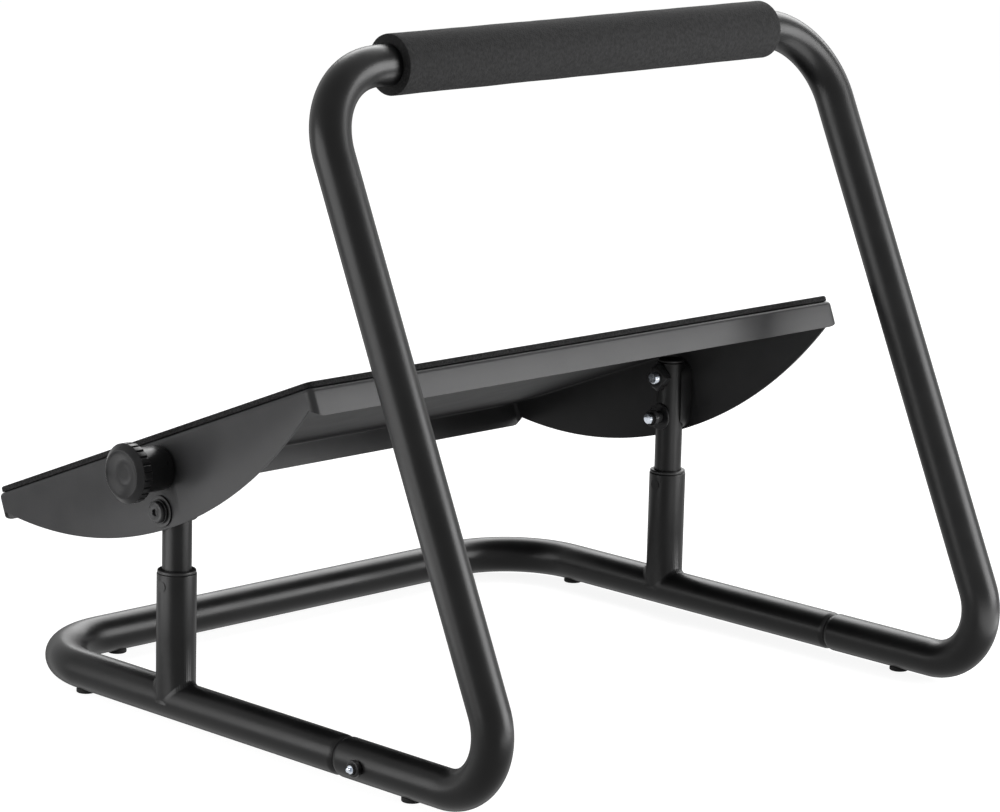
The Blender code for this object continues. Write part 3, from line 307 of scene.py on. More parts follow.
# %% [markdown]
# ## Powder coat
#
# The tubes and the tray are steel with a baked powder coat. From near, such a coat has a fine orange
# peel where the powder flowed together, and its gloss wanders a little from place to place. Two noises
# drive the bump, one for the peel and one for the fine grain, and a slow third one drives colour and
# gloss. The black is very dark, because the grey that the eye sees is gloss. At a grazing view the
# grain scatters more, so the gloss is hazier towards the outline of a tube.

# %% Make the powder coats
def powder_coat(name, dark, pale, roughness, peel, specular):
    """A satin powder coat between two near blacks, with an orange peel of that strength."""
    finish, tree, shader, place = blank_finish(name)
    drift = speckle(tree, place, 38.0, 3.0)
    waves = speckle(tree, place, 620.0, 2.0)
    grain = speckle(tree, place, 2600.0, 1.0)
    tree.links.new(two_tones(tree, drift, dark, pale), shader.inputs["Base Color"])
    gloss = between(tree, drift, roughness - 0.03, roughness + 0.03)
    facing = node(tree, "ShaderNodeLayerWeight", {"Blend": 0.5}).outputs["Facing"]
    haze = between(tree, facing, 0.0, 0.35, 0.68, 0.95)
    tree.links.new(arithmetic(tree, "ADD", gloss, haze), shader.inputs["Roughness"])
    fine = relief(tree, grain, 0.00005, 0.25)
    tree.links.new(relief(tree, waves, 0.00025, peel, fine), shader.inputs["Normal"])
    shader.inputs["Specular IOR Level"].default_value = specular
    return finish


TUBE_COAT = powder_coat("satin_tube_coat", dark=(0.0020, 0.0020, 0.0021), pale=(0.0033, 0.0033, 0.0034),
                        roughness=0.34, peel=0.10, specular=0.17)
SHEET_COAT = powder_coat("satin_sheet_coat", dark=(0.0175, 0.0175, 0.0180), pale=(0.0205, 0.0205, 0.0211),
                         roughness=0.33, peel=0.14, specular=0.085)
print("coats made:", TUBE_COAT.name, "and", SHEET_COAT.name)

# %% [markdown]
# ## Foam and rubber
#
# The grip is closed-cell foam: a matt skin full of tiny pits. Its cut ends get a darker copy of the skin,
# which is partly painted shade for faces turned away from the lamps and partly the darker opened cells.
# Cells of a Voronoi texture make the pits. The mat and the feet are rubber, which is mottled too and has
# a pebble grain that keeps shoes from slipping.

# %% Make the foam and the rubbers
def cells(tree, place, per_metre):
    """Distance to the middle of each cell, with about that many cells to the metre."""
    made = node(tree, "ShaderNodeTexVoronoi", {"Vector": place, "Scale": per_metre})
    return made.outputs["Distance"]


def foam_skin(name, dark, pale):
    """Closed-cell foam, pitted and matt."""
    finish, tree, shader, place = blank_finish(name)
    pits = cells(tree, place, 950.0)
    lumps = speckle(tree, place, 420.0, 5.0)
    tree.links.new(two_tones(tree, lumps, dark, pale), shader.inputs["Base Color"])
    tree.links.new(between(tree, lumps, 0.86, 0.96), shader.inputs["Roughness"])
    coarse = relief(tree, lumps, 0.0003, 0.25)
    tree.links.new(relief(tree, pits, 0.00035, 0.55, coarse), shader.inputs["Normal"])
    shader.inputs["Specular IOR Level"].default_value = 0.12
    return finish


def rubber(name, dark, pale, roughness, pebbles, depth):
    """Moulded rubber with that many pebbles of grain to the metre."""
    finish, tree, shader, place = blank_finish(name)
    mottle = speckle(tree, place, 1.1 * pebbles, 3.0)
    grain = cells(tree, place, pebbles)
    tree.links.new(two_tones(tree, mottle, dark, pale), shader.inputs["Base Color"])
    tree.links.new(between(tree, mottle, roughness - 0.06, roughness + 0.06), shader.inputs["Roughness"])
    tree.links.new(relief(tree, grain, depth, 0.5), shader.inputs["Normal"])
    shader.inputs["Specular IOR Level"].default_value = 0.05
    return finish


FOAM = foam_skin("foam_grip_skin", dark=(0.0088, 0.0088, 0.0090), pale=(0.0172, 0.0172, 0.0175))
# A darker copy of the foam skin for the cut ends: painted shade on faces turned away from the lamps, besides
# the darker opened cells.
SHADED_FOAM_ENDS = foam_skin("foam_ends_painted_shade", dark=(0.0050, 0.0050, 0.0051), pale=(0.0095, 0.0095, 0.0097))
MAT_RUBBER = rubber("mat_rubber", dark=(0.0030, 0.0030, 0.0031), pale=(0.0150, 0.0150, 0.0153),
                    roughness=0.84, pebbles=850.0, depth=0.0007)
FOOT_RUBBER = rubber("foot_rubber", dark=(0.0140, 0.0140, 0.0142), pale=(0.0190, 0.0190, 0.0192),
                     roughness=0.70, pebbles=1800.0, depth=0.0001)
print("soft finishes made:", ", ".join(finish.name for finish in (FOAM, SHADED_FOAM_ENDS, MAT_RUBBER, FOOT_RUBBER)))

# %% [markdown]
# ## Moulded plastic
#
# The knob comes from a polished mould and the nylon guides from a plain one, so the same tree serves
# both with another gloss. A trace of flow in the colour and a fine spark-eroded grain keep them from
# looking like paint.

# %% Make the plastics
def moulded(name, dark, pale, roughness, grain_strength, specular):
    """Injection-moulded plastic."""
    finish, tree, shader, place = blank_finish(name)
    flow = speckle(tree, place, 90.0, 2.0)
    grain = speckle(tree, place, 3200.0, 1.0)
    tree.links.new(two_tones(tree, flow, dark, pale), shader.inputs["Base Color"])
    tree.links.new(between(tree, flow, roughness - 0.03, roughness + 0.03), shader.inputs["Roughness"])
    tree.links.new(relief(tree, grain, 0.00006, grain_strength), shader.inputs["Normal"])
    shader.inputs["Specular IOR Level"].default_value = specular
    return finish


KNOB_PLASTIC = moulded("knob_plastic", dark=(0.0115, 0.0115, 0.0118), pale=(0.0140, 0.0140, 0.0143),
                       roughness=0.30, grain_strength=0.10, specular=0.065)
NYLON = moulded("guide_nylon", dark=(0.0080, 0.0080, 0.0082), pale=(0.0110, 0.0110, 0.0112),
                roughness=0.40, grain_strength=0.30, specular=0.20)
print("plastics made:", KNOB_PLASTIC.name, "and", NYLON.name)

# %% [markdown]
# ## Fastener steels
#
# Bolts and nuts have a black oxide, a thin dark layer with oil on it, so they shine like paint and not
# like bare metal. The clamp's stud and guide bolt and the tips of the other bolts are bright zinc, which
# is slightly blue. Both have the fine marks of turning, made by a noise squeezed along one axis.

# %% Make the steels
def fastener_steel(name, dark, pale, roughness, marks, metallic):
    """A plated steel with fine machining marks."""
    finish, tree, shader, place = blank_finish(name)
    squeezed = node(tree, "ShaderNodeMapping", {"Vector": place, "Scale": (9.0, 1.0, 1.0)}).outputs[0]
    lines = speckle(tree, squeezed, 420.0, 3.0)
    stain = speckle(tree, place, 300.0, 3.0)
    tree.links.new(two_tones(tree, stain, dark, pale), shader.inputs["Base Color"])
    tree.links.new(between(tree, stain, roughness - 0.05, roughness + 0.06), shader.inputs["Roughness"])
    tree.links.new(relief(tree, lines, 0.00006, marks), shader.inputs["Normal"])
    shader.inputs["Metallic"].default_value = metallic
    shader.inputs["Specular IOR Level"].default_value = 0.14
    return finish


OXIDE = fastener_steel("black_oxide", dark=(0.0120, 0.0120, 0.0125), pale=(0.0190, 0.0190, 0.0196),
                       roughness=0.30, marks=0.20, metallic=0.0)
ZINC = fastener_steel("bright_zinc", dark=(0.52, 0.56, 0.62), pale=(0.66, 0.70, 0.76),
                      roughness=0.14, marks=0.10, metallic=1.0)
print("steels made:", OXIDE.name, "and", ZINC.name)

# %% [markdown]
# ## Adding a piece
#
# A piece is made in three steps: its rough mesh, the modifiers that cut and soften it, and then one
# plain mesh with all of that applied. Then the piece gets its finish, rides on its body and takes the
# place of its CAD node.

# %% Helpers that finish a piece
def loose(name, shape):
    """A new object from a bmesh, with its faces pointing out."""
    bmesh.ops.recalc_face_normals(shape, faces=shape.faces)
    mesh = bpy.data.meshes.new(name)
    shape.to_mesh(mesh)
    shape.free()
    piece = bpy.data.objects.new(name, mesh)
    bpy.context.scene.collection.objects.link(piece)
    return piece


def freeze(piece, sharp=38.0):
    """Applies all modifiers, and shades smoothly except across sharp edges."""
    bpy.context.view_layer.update()
    graph = bpy.context.evaluated_depsgraph_get()
    mesh = bpy.data.meshes.new_from_object(piece.evaluated_get(graph), depsgraph=graph)
    mesh.name = piece.name
    piece.modifiers.clear()
    piece.data = mesh
    mesh.shade_smooth()
    mesh.set_sharp_from_angle(angle=math.radians(sharp))
    return piece


def soften(piece, width, segments=3, angle=40.0, miter="MITER_ARC"):
    """Rounds the edges that turn by more than an angle in degrees."""
    bevel = piece.modifiers.new("soften", "BEVEL")
    bevel.width = width
    bevel.segments = segments
    bevel.limit_method = "ANGLE"
    bevel.angle_limit = math.radians(angle)
    bevel.miter_outer = miter
    return piece


def carve(piece, tool, operation="DIFFERENCE"):
    """Cuts a piece with a tool, or joins the tool to it, and throws the tool away."""
    cut = piece.modifiers.new("carve", "BOOLEAN")
    cut.object = tool
    cut.operation = operation
    cut.solver = "EXACT"
    freeze(piece)
    bpy.data.objects.remove(tool)
    return piece


def fit(piece, finish, body, slot, *nodes):
    """Gives a piece its finish, its body and the CAD nodes that it stands for. The slot is not used."""
    piece.data.materials.clear()
    piece.data.materials.append(finish)
    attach(piece, body)
    if nodes:
        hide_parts(*nodes)
    print("%s: %d faces" % (piece.name, len(piece.data.polygons)))
    return piece


# %% [markdown]
# ## Bent tubes
#
# The stand is two lengths of round tube, each bent in one plane after another on a tube bender. A bend
# is an arc that touches both straights, so the centre line needs only its corners and bend radii. The
# wall is a loop of rings round that line: out along the outside and back along the bore. A curve with a
# bevel would be shorter to write, but rings also give the mouths their rounded lips, which draw the
# fine groove seen at the joints.

# %% Draw centre lines and tube walls
def centre_line(corners, bends, step=math.radians(3.0)):
    """Points along straights and bends, with a short step in each bend."""
    points = [Vector(corners[0])]
    for before, corner, after, radius in zip(corners, corners[1:], corners[2:], bends):
        corner = Vector(corner)
        inward = (Vector(before) - corner).normalized()
        outward = (Vector(after) - corner).normalized()
        half = inward.angle(outward) / 2
        centre = corner + (inward + outward).normalized() * (radius / math.sin(half))
        start = corner + inward * (radius / math.tan(half)) - centre
        axis = inward.cross(outward).normalized()
        turn = math.pi - 2 * half
        steps = math.ceil(turn / step)
        for i in range(steps + 1):
            points.append(centre + Matrix.Rotation(-turn * i / steps, 3, axis) @ start)
    points.append(Vector(corners[-1]))
    return points


def stations(line, lip_length, lip_drop, steps=8):
    """Each point of a line with how far the outside is drawn in there: nothing, but for the mouths."""
    ahead = (line[1] - line[0]).normalized()
    behind = (line[-2] - line[-1]).normalized()
    lip = [(lip_length * t / (math.pi / 2), lip_drop * (1 - math.sin(t))) for t in quarter(steps)]
    first = [(line[0] + ahead * along, drop) for along, drop in lip]
    last = [(line[-1] + behind * along, drop) for along, drop in reversed(lip)]
    return first + [(point, 0.0) for point in line[1:-1]] + last


def hoops(points, radii, sides):
    """Rings of points round a line, carried along it without twisting."""
    reach = [(b - a).normalized() for a, b in zip(points, points[1:])]
    heading = [reach[0]] + [(a + b).normalized() for a, b in zip(reach, reach[1:])] + [reach[-1]]
    across = heading[0].orthogonal().normalized()
    rings = []
    for i, (point, radius) in enumerate(zip(points, radii)):
        if i:
            across = heading[i - 1].rotation_difference(heading[i]) @ across
        beside = heading[i].cross(across)
        rings.append([point + (across * math.cos(a) + beside * math.sin(a)) * radius for a in turns(sides)])
    return rings


def skin_rings(rings, closed):
    """A bmesh skinned over rings of equally many points, closed into a loop or capped."""
    shape = bmesh.new()
    rows = [[shape.verts.new(point) for point in ring] for ring in rings]
    pairs = list(zip(rows, rows[1:]))
    if closed:
        pairs.append((rows[-1], rows[0]))
    for near, far in pairs:
        for i in range(len(near)):
            j = (i + 1) % len(near)
            shape.faces.new((near[i], near[j], far[j], far[i]))
    if not closed:
        shape.faces.new(rows[0])
        shape.faces.new(rows[-1])
    return shape


MOUTH_LENGTH, MOUTH_DROP = 0.0038, 0.0013


def bent_tube(name, corners, bends, radius, wall, sides=64):
    """A tube through the corners, with rounded mouths."""
    places = stations(centre_line(corners, bends), MOUTH_LENGTH, MOUTH_DROP)
    points = [point for point, _ in places]
    outside = hoops(points, [radius - drop for _, drop in places], sides)
    bore = hoops(points, [radius - wall] * len(points), sides)
    return loose(name, skin_rings(outside + bore[::-1], closed=True))


# %% [markdown]
# ## The stand
#
# The base tube runs from one joint round the front to the other. The handle tube takes over behind the
# joints, turns up at the back and leans forward over the tray. Its uprights lean by 24.5 degrees, and
# the corner where they would meet the rails follows from the lean and the bend.

# %% Bend the stand
TUBE_WALL = 0.0015
LEAN = math.radians(24.5)
BAR_Z = 0.4193
FOOT_BEND, HEAD_BEND, FRONT_BEND = 0.038, 0.052, 0.060
handle_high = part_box("handle_tube")[1]
back_centre = handle_high.y - TUBE_RADIUS - FOOT_BEND
CORNER_Y = back_centre + FOOT_BEND * math.tan((math.pi / 2 + LEAN) / 2)
BAR_Y = CORNER_Y - (BAR_Z - RAIL_Z) * math.tan(LEAN)
right_x, left_x = MIDDLE_X + SIDE, MIDDLE_X - SIDE

base = bent_tube(
    "stand_base", [(right_x, SEAM_Y, RAIL_Z), (right_x, FRONT_Y, RAIL_Z),
                   (left_x, FRONT_Y, RAIL_Z), (left_x, SEAM_Y, RAIL_Z)],
    [FRONT_BEND, FRONT_BEND], TUBE_RADIUS, TUBE_WALL)
handle = bent_tube(
    "stand_handle", [(right_x, SEAM_Y + GAP, RAIL_Z), (right_x, CORNER_Y, RAIL_Z),
                     (right_x, BAR_Y, BAR_Z), (left_x, BAR_Y, BAR_Z),
                     (left_x, CORNER_Y, RAIL_Z), (left_x, SEAM_Y + GAP, RAIL_Z)],
    [FOOT_BEND, HEAD_BEND, HEAD_BEND, FOOT_BEND], TUBE_RADIUS, TUBE_WALL)
print("the bar lies at y = %.4f, z = %.4f" % (BAR_Y, BAR_Z))

# %% [markdown]
# ## Turned pieces
#
# Washers, plugs, bushings, bolts and feet are all turned on a lathe or moulded round. Each is a
# profile, spun about an axis. Real profiles have no knife edges, so a helper first rounds the corners
# that are marked with a radius, and the spin does the rest.

# %% Helpers for turned pieces
def profile(*corners, steps=5):
    """(radius, height) points, where a corner with a third number is rounded by that radius."""
    points = []
    count = len(corners)
    for i, corner in enumerate(corners):
        here = Vector(corner[:2])
        if len(corner) < 3:
            points.append(here)
            continue
        back = Vector(corners[(i - 1) % count][:2]) - here
        ahead = Vector(corners[(i + 1) % count][:2]) - here
        half = back.angle(ahead) / 2
        reach = min(corner[2] / math.tan(half), 0.49 * back.length, 0.49 * ahead.length)
        start, end = here + back.normalized() * reach, here + ahead.normalized() * reach
        for t in (k / steps for k in range(steps + 1)):
            points.append(start * (1 - t) ** 2 + here * 2 * t * (1 - t) + end * t ** 2)
    return [(point.x, point.y) for point in points]


def turned(name, points, sides=64, ring=False):
    """Spins a profile about Z. A ring's profile is closed and keeps off the axis."""
    rings = [[around(r, a, z) for a in turns(sides)] for r, z in points]
    return loose(name, skin_rings(rings, closed=ring))


def stand_at(piece, place, axis="Z", sign=1):
    """Moves a piece drawn along Z to its place, along Z or, to the side of the sign, along X."""
    turn = Matrix.Rotation(sign * math.pi / 2, 4, "Y") if axis == "X" else Matrix.Identity(4)
    piece.data.transform(Matrix.Translation(place) @ turn)
    return piece


def rod(radius, start, end, sides=64):
    """A plain round cutter from one point to another."""
    start, end = Vector(start), Vector(end)
    return loose("cutter", skin_rings(hoops([start, end], [radius, radius], sides), closed=False))


def bore(piece, radius, start, end, chamfer):
    """Drills a round hole and breaks its edge at the start."""
    start, end = Vector(start), Vector(end)
    way = (end - start).normalized()
    carve(piece, rod(radius, start, end))
    cone = hoops([start, start + way * 2 * chamfer], [radius + chamfer, radius - chamfer], 64)
    return carve(piece, loose("cutter", skin_rings(cone, closed=False)))


# %% [markdown]
# ## Holes in the stand
#
# Before it is coated, the handle tube is drilled for the joint screws, and each foot needs a hole under
# it. Only the joints' holes are seen, round the nuts, so these two are cut here.

# %% Drill and fit the stand
JOINT_SETBACK, JOINT_HOLE = 0.0225, 0.0033
JOINT_Y = SEAM_Y + GAP / 2 + JOINT_SETBACK
for sign in SIDES.values():
    carve(handle, rod(JOINT_HOLE, on_side(sign, SIDE, RAIL_Z, JOINT_Y),
                      on_side(sign, SIDE + 0.02, RAIL_Z, JOINT_Y)))
freeze(base)
fit(base, TUBE_COAT, "base", "powder_coat", "base_tube")
fit(handle, TUBE_COAT, "base", "powder_coat", "handle_tube")

# %% [markdown]
# ## Outer posts and their welds
#
# Each post is a tube whose foot is cut to the curve of the rail and welded all round. The weld is
# thickest in front and behind, where the two tubes meet squarely, and thins out at the sides, where
# they run into each other. A welder lays it as a row of small overlapping puddles, so the fillet gets a
# low ripple along the seam. Post and weld are one piece under one coat of powder.

# %% Weld the posts to the rails
POST_RADIUS, POST_WALL, POST_RISE, POST_EDGE = 0.0125, 0.0015, 0.0820, 0.0007
WELD_LEG, WELD_ROOT, WELD_SPREAD = 0.0030, 0.0004, 0.0003


def rail_top(radius, angle):
    """Height of the rail's surface over its centre line, at that radius and angle round the post."""
    across = radius * math.cos(angle)
    return math.sqrt(max(TUBE_RADIUS ** 2 - across ** 2, 0.0))


def weld_leg(angle):
    """How far the weld spreads at that angle, ripples included."""
    size = WELD_LEG * (0.15 + 0.85 * math.sin(angle) ** 2)
    return size * (1.0 + 0.06 * math.sin(60 * angle) + 0.03 * math.sin(23 * angle + 1.0))


def post_ring(radius_at, height_at, sides=240):
    """One ring round a post, from functions of the angle."""
    return [around(radius_at(a), a, height_at(radius_at(a), a)) for a in turns(sides)]


def welded_post(name):
    """A coped tube with its weld, from its top edge down and round to its bore."""
    inside = POST_RADIUS - POST_WALL
    rings = [post_ring(lambda a: inside, lambda r, a: POST_RISE)]
    for t in quarter(5):
        rings.append(post_ring(lambda a: POST_RADIUS - POST_EDGE * (1 - math.sin(t)),
                               lambda r, a: POST_RISE - POST_EDGE * (1 - math.cos(t))))
    rings.append(post_ring(lambda a: POST_RADIUS, lambda r, a: POST_RISE / 2))
    for t in quarter(10):
        bulge = 0.11 * math.sin(2 * t)
        rings.append(post_ring(lambda a: POST_RADIUS + weld_leg(a) * (1 - math.cos(t) + bulge),
                               lambda r, a: rail_top(r, a) + weld_leg(a) * (1 - math.sin(t) + bulge)))
    rings.append(post_ring(lambda a: POST_RADIUS + weld_leg(a) + WELD_SPREAD,
                           lambda r, a: rail_top(r, a) - WELD_ROOT))
    rings.append(post_ring(lambda a: inside, lambda r, a: rail_top(r, a) - WELD_ROOT))
    return loose(name, skin_rings(rings, closed=True))


SCREW_HOLE, SCREW_DROP = 0.0032, 0.0075
POST_TOP = RAIL_Z + POST_RISE
SCREW_Z = POST_TOP - SCREW_DROP
for side, sign in SIDES.items():
    post = stand_at(welded_post("outer_post_tube_" + side), on_side(sign, SIDE, RAIL_Z))
    x = MIDDLE_X + sign * SIDE
    bore(post, SCREW_HOLE, (x + POST_RADIUS + 0.0001, POST_Y, SCREW_Z), (x + 0.0090, POST_Y, SCREW_Z), 0.0003)
    fit(post, TUBE_COAT, "base", "powder_coat", "outer_post_" + side)

# %% [markdown]
# ## Guide bushings and set screws
#
# A nylon bushing sits in each outer post so that the inner post slides without scratching. Only its
# rim is seen, as a fine dark step with a rounded edge. The set screw bears on the inner post through
# it and holds the height; its socket is a small hexagon, cut with a six-sided tool.

# %% Press in the bushings and turn in the set screws
def prism(name, across_flats, corners, low, high, turn=0.0):
    """A straight piece along Z with that many flats, between two heights."""
    radius = across_flats / 2 / math.cos(math.pi / corners)
    ends = [[around(radius, a, z) for a in turns(corners, turn)] for z in (low, high)]
    return loose(name, skin_rings(ends, closed=False))


for side, sign in SIDES.items():
    x = MIDDLE_X + sign * SIDE
    bushing = turned("bushing_" + side, profile(
        (0.00955, -0.0300), (0.0107, -0.0300), (0.0107, 0.0001), (0.0121, 0.0001, 0.0002),
        (0.0121, 0.0020, 0.0009), (0.00955, 0.0020, 0.0003)), 96, ring=True)
    stand_at(bushing, (x, POST_Y, POST_TOP))
    carve(bushing, rod(SCREW_HOLE, (x, POST_Y, SCREW_Z), (x + 0.02, POST_Y, SCREW_Z)))
    fit(freeze(bushing), NYLON, "base", "black_plastic", "post_bushing_" + side)
    screw = turned("set_screw_body_" + side, profile(
        (0.0001, 0.0096), (0.0018, 0.0096), (0.0029, 0.0107), (0.0029, 0.0122, 0.0004),
        (0.0001, 0.0122)), 48)
    carve(screw, prism("socket", 0.0030, 6, 0.0108, 0.0130))
    soften(screw, 0.0001, 2)
    stand_at(screw, (x, POST_Y, SCREW_Z), "X")
    fit(freeze(screw), OXIDE, "base", "black_steel", "set_screw_" + side)

# %% [markdown]
# ## Inner posts
#
# The sliding tubes carry the tray. They are drilled across for the pivot bolt and, higher up, for the
# clamp, and a small plug closes the top.

# %% Make the sliding tubes and their plugs
INNER_RADIUS, INNER_WALL = 0.00925, 0.0015
inner_low, inner_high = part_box("inner_post_right")
for side, sign in SIDES.items():
    x = MIDDLE_X + sign * SIDE
    tube = turned("sliding_tube_" + side, profile(
        (INNER_RADIUS - INNER_WALL, inner_low.z), (INNER_RADIUS, inner_low.z, 0.0006),
        (INNER_RADIUS, inner_high.z, 0.0005), (INNER_RADIUS - INNER_WALL, inner_high.z)), 96, ring=True)
    stand_at(tube, (x, POST_Y, 0.0))
    for height in (PIVOT_Z, CLAMP_Z):
        carve(tube, rod(BOLT_HOLE, (x - 0.02, POST_Y, height), (x + 0.02, POST_Y, height)))
    fit(freeze(tube), TUBE_COAT, "lift", "powder_coat", "inner_post_" + side)
    plug = turned("top_plug_" + side, profile(
        (0.0001, -0.0050), (0.0060, -0.0050, 0.0010), (0.00745, 0.0), (0.0088, 0.0, 0.0002),
        (0.0088, 0.0016, 0.0018), (0.0001, 0.0021)), 72)
    stand_at(plug, (x, POST_Y, inner_high.z + GAP))
    fit(freeze(plug), NYLON, "lift", "black_plastic", "post_plug_" + side)

# %% [markdown]
# ## Saddles
#
# Between the round post and the flat flange sits a moulded spacer. Its outline is a slot shape, half
# round below the pivot and half round above the clamp, and its inner face is hollowed to the post. The
# shape is a thick plate with a cylinder taken out of it, and all its corners are broken.

# %% Mould the saddles
FLANGE_X, SHEET = 0.2350, 0.0015
SADDLE_HALF, SADDLE_PLAY = 0.0102, 0.0004


def slot_shape(half_width, low, high, steps=32):
    """Outline of a plate with half-round ends, as (y, z) points."""
    ends = []
    for centre, first in ((low, math.pi), (high, 0.0)):
        for k in range(steps + 1):
            a = first + math.pi * k / steps
            ends.append((half_width * math.cos(a), centre + half_width * math.sin(a)))
    return ends


def plate_x(name, outline, near, far):
    """A plate in the YZ plane between two x places, from an outline of (y, z) points."""
    shape = bmesh.new()
    face = shape.faces.new([shape.verts.new((near, y, z)) for y, z in outline])
    grown = bmesh.ops.extrude_face_region(shape, geom=[face])["geom"]
    moved = [item for item in grown if isinstance(item, bmesh.types.BMVert)]
    bmesh.ops.translate(shape, verts=moved, vec=(far - near, 0.0, 0.0))
    return loose(name, shape)


for side, sign in SIDES.items():
    near = MIDDLE_X + sign * (SIDE + SADDLE_PLAY)
    far = MIDDLE_X + sign * (FLANGE_X - SHEET - GAP)
    outline = [(POST_Y + y, PIVOT_Z + z) for y, z in slot_shape(SADDLE_HALF, 0.0, CLAMP_RISE)]
    saddle = plate_x("saddle_block_" + side, outline, near, far)
    carve(saddle, rod(INNER_RADIUS + GAP, on_side(sign, SIDE, PIVOT_Z - 0.03),
                      on_side(sign, SIDE, PIVOT_Z + 0.06), 128))
    for height in (PIVOT_Z, CLAMP_Z):
        carve(saddle, rod(BOLT_HOLE, on_side(sign, SIDE, height), (far + sign * 0.01, POST_Y, height)))
    soften(saddle, 0.0010, 4, 50.0)
    fit(freeze(saddle), NYLON, "lift", "black_plastic", "saddle_" + side)

# %% [markdown]
# ## The pressed tray
#
# The tray is one sheet of 1.5 mm steel, pressed over a die. Its wall runs right round the plate: deep
# and arched at the sides, where it carries the pivot, shallow in front and behind, and round at the
# four corners. So the bend is drawn as one loop round the plate. Each point of the loop knows which
# way is out and how deep the wall is there, and a Solidify modifier gives the skin the thickness of the
# steel on its inner side.

# %% Press the tray
TRAY_HALF, SHEET_TOP = 0.1595, 0.0429
FOLD, CORNER = 0.0030, 0.0045
FLANGE_DEPTH, CORNER_DEPTH, LIP_DEPTH = 0.0543, 0.0127, 0.0175
ROUNDING = 0.0105


def arc(centre, radius, first, last, steps):
    """Points on an arc, ends included."""
    return [(centre[0] + radius * math.cos(first + (last - first) * k / steps),
             centre[1] + radius * math.sin(first + (last - first) * k / steps)) for k in range(steps + 1)]


def flange_edge():
    """Lower edge of a side as (s, depth) points, an arc from its front end to its rear end."""
    half, rise = TRAY_HALF - CORNER, FLANGE_DEPTH - CORNER_DEPTH
    radius = (half ** 2 + rise ** 2) / (2 * rise)
    sweep = math.asin(half / radius)
    return arc((0.0, FLANGE_DEPTH - radius), radius, math.pi / 2 + sweep, math.pi / 2 - sweep, 121)


def corner_depth(along):
    """Depth of the wall at that distance from a side's end, where it grows smoothly to a lip's depth."""
    return CORNER_DEPTH + (LIP_DEPTH - CORNER_DEPTH) * math.sin(math.pi / 2 * min(1.0, along / ROUNDING))


def wall_loop():
    """The line where the bend begins, as (x, s, outward angle, depth of the wall)."""
    inner = CORNER - FOLD
    end_x, end_s = FLANGE_X - CORNER, TRAY_HALF - CORNER
    turn = quarter(10)[1:-1]
    half = [(FLANGE_X - FOLD, s, 0.0, depth) for s, depth in flange_edge()]
    half += [(end_x + inner * math.cos(a), end_s + inner * math.sin(a), a, corner_depth(CORNER * a))
             for a in turn]
    near = [end_x - 0.0006 * k for k in range(7)]
    lip = near + [end_x * k / 12 for k in range(11, -12, -1)] + [-x for x in reversed(near)]
    half += [(x, TRAY_HALF - FOLD, math.pi / 2, corner_depth(CORNER * math.pi / 2 + end_x - abs(x)))
             for x in lip]
    half += [(-end_x - inner * math.sin(a), end_s + inner * math.cos(a), a + math.pi / 2,
              corner_depth(CORNER * (math.pi / 2 - a))) for a in turn]
    return half + [(-x, -s, a + math.pi, depth) for x, s, a, depth in half]


def tray_skin(steps=8):
    """The outer skin of the tray, level about its pivot, as rings from the plate down to the edge."""
    loop = wall_loop()
    rings = []
    for t in quarter(steps):
        out, height = FOLD * math.sin(t), SHEET_TOP - FOLD * (1 - math.cos(t))
        rings.append([(x + out * math.cos(a), s + out * math.sin(a), height) for x, s, a, _ in loop])
    rings.append([(x + FOLD * math.cos(a), s + FOLD * math.sin(a), SHEET_TOP - depth)
                  for x, s, a, depth in loop])
    shape = bmesh.new()
    rows = [[shape.verts.new(point) for point in ring] for ring in rings]
    for upper, lower in zip(rows, rows[1:]):
        for i in range(len(loop)):
            j = (i + 1) % len(loop)
            shape.faces.new((upper[i], lower[i], lower[j], upper[j]))
    shape.faces.new(rows[0])
    return loose("tray_sheet", shape)


tray = tray_skin()
up = sum((face.normal.z * face.area for face in tray.data.polygons), 0.0)
thick = tray.modifiers.new("steel", "SOLIDIFY")
thick.thickness = SHEET
thick.offset = -1.0 if up > 0 else 1.0
thick.use_even_offset = True
freeze(tray)
print("tray pressed, %.0f mm wide and %.0f mm long" % (2000 * FLANGE_X, 2000 * TRAY_HALF))

# %% [markdown]
# ## Pivot holes and tilt slots
#
# The pivot bolt's bush needs a round hole, and the clamp runs in a slot that is an arc round the pivot,
# as long as the tilt allows. Slot and hole are cut through both flanges, and then every sheared edge of
# the sheet is rounded a little, as a deburring drum and the powder leave it.

# %% Cut the slots and tilt the tray
def slot_arc(radius, half_width, low, high, steps=24):
    """A curved slot about the pivot, as (s, h) points."""
    outer = arc((0, 0), radius + half_width, low, high, steps)
    inner = arc((0, 0), radius - half_width, high, low, steps)
    far = arc(around(radius, high, 0.0), half_width, high, high + math.pi, 16)
    near = arc(around(radius, low, 0.0), half_width, low + math.pi, low + math.tau, 16)
    return outer[:-1] + far[:-1] + inner[:-1] + near[:-1]


def into_place(piece):
    """Tilts what was drawn level about the pivot and moves it to the posts."""
    piece.data.transform(Matrix.Translation((MIDDLE_X, POST_Y, PIVOT_Z)) @ Matrix.Rotation(TILT, 4, "X"))
    return piece


STEEPEST, PLAY = math.radians(30.0), math.radians(1.5)
BUSH_HOLE = 0.0058
slot_points = slot_arc(CLAMP_RISE, BOLT_HOLE, math.pi / 2 - STEEPEST - PLAY, math.pi / 2 + PLAY)
for sign in SIDES.values():
    near, far = sign * (FLANGE_X - 0.004), sign * (FLANGE_X + 0.004)
    carve(tray, plate_x("cutter", slot_points, near, far))
    carve(tray, rod(BUSH_HOLE, (near, 0, 0), (far, 0, 0)))
soften(tray, 0.00055, 3, 50.0, "MITER_SHARP")
freeze(tray, 30.0)
fit(into_place(tray), SHEET_COAT, "tray", "powder_coat_sheet", "tray_pan")

# %% [markdown]
# ## The rubber mat
#
# A thick mat lies glued on the plate, almost as large as its flat, with rounded corners and a soft
# edge. It has no ribs: shoes are held by its pebble grain, which the material makes.

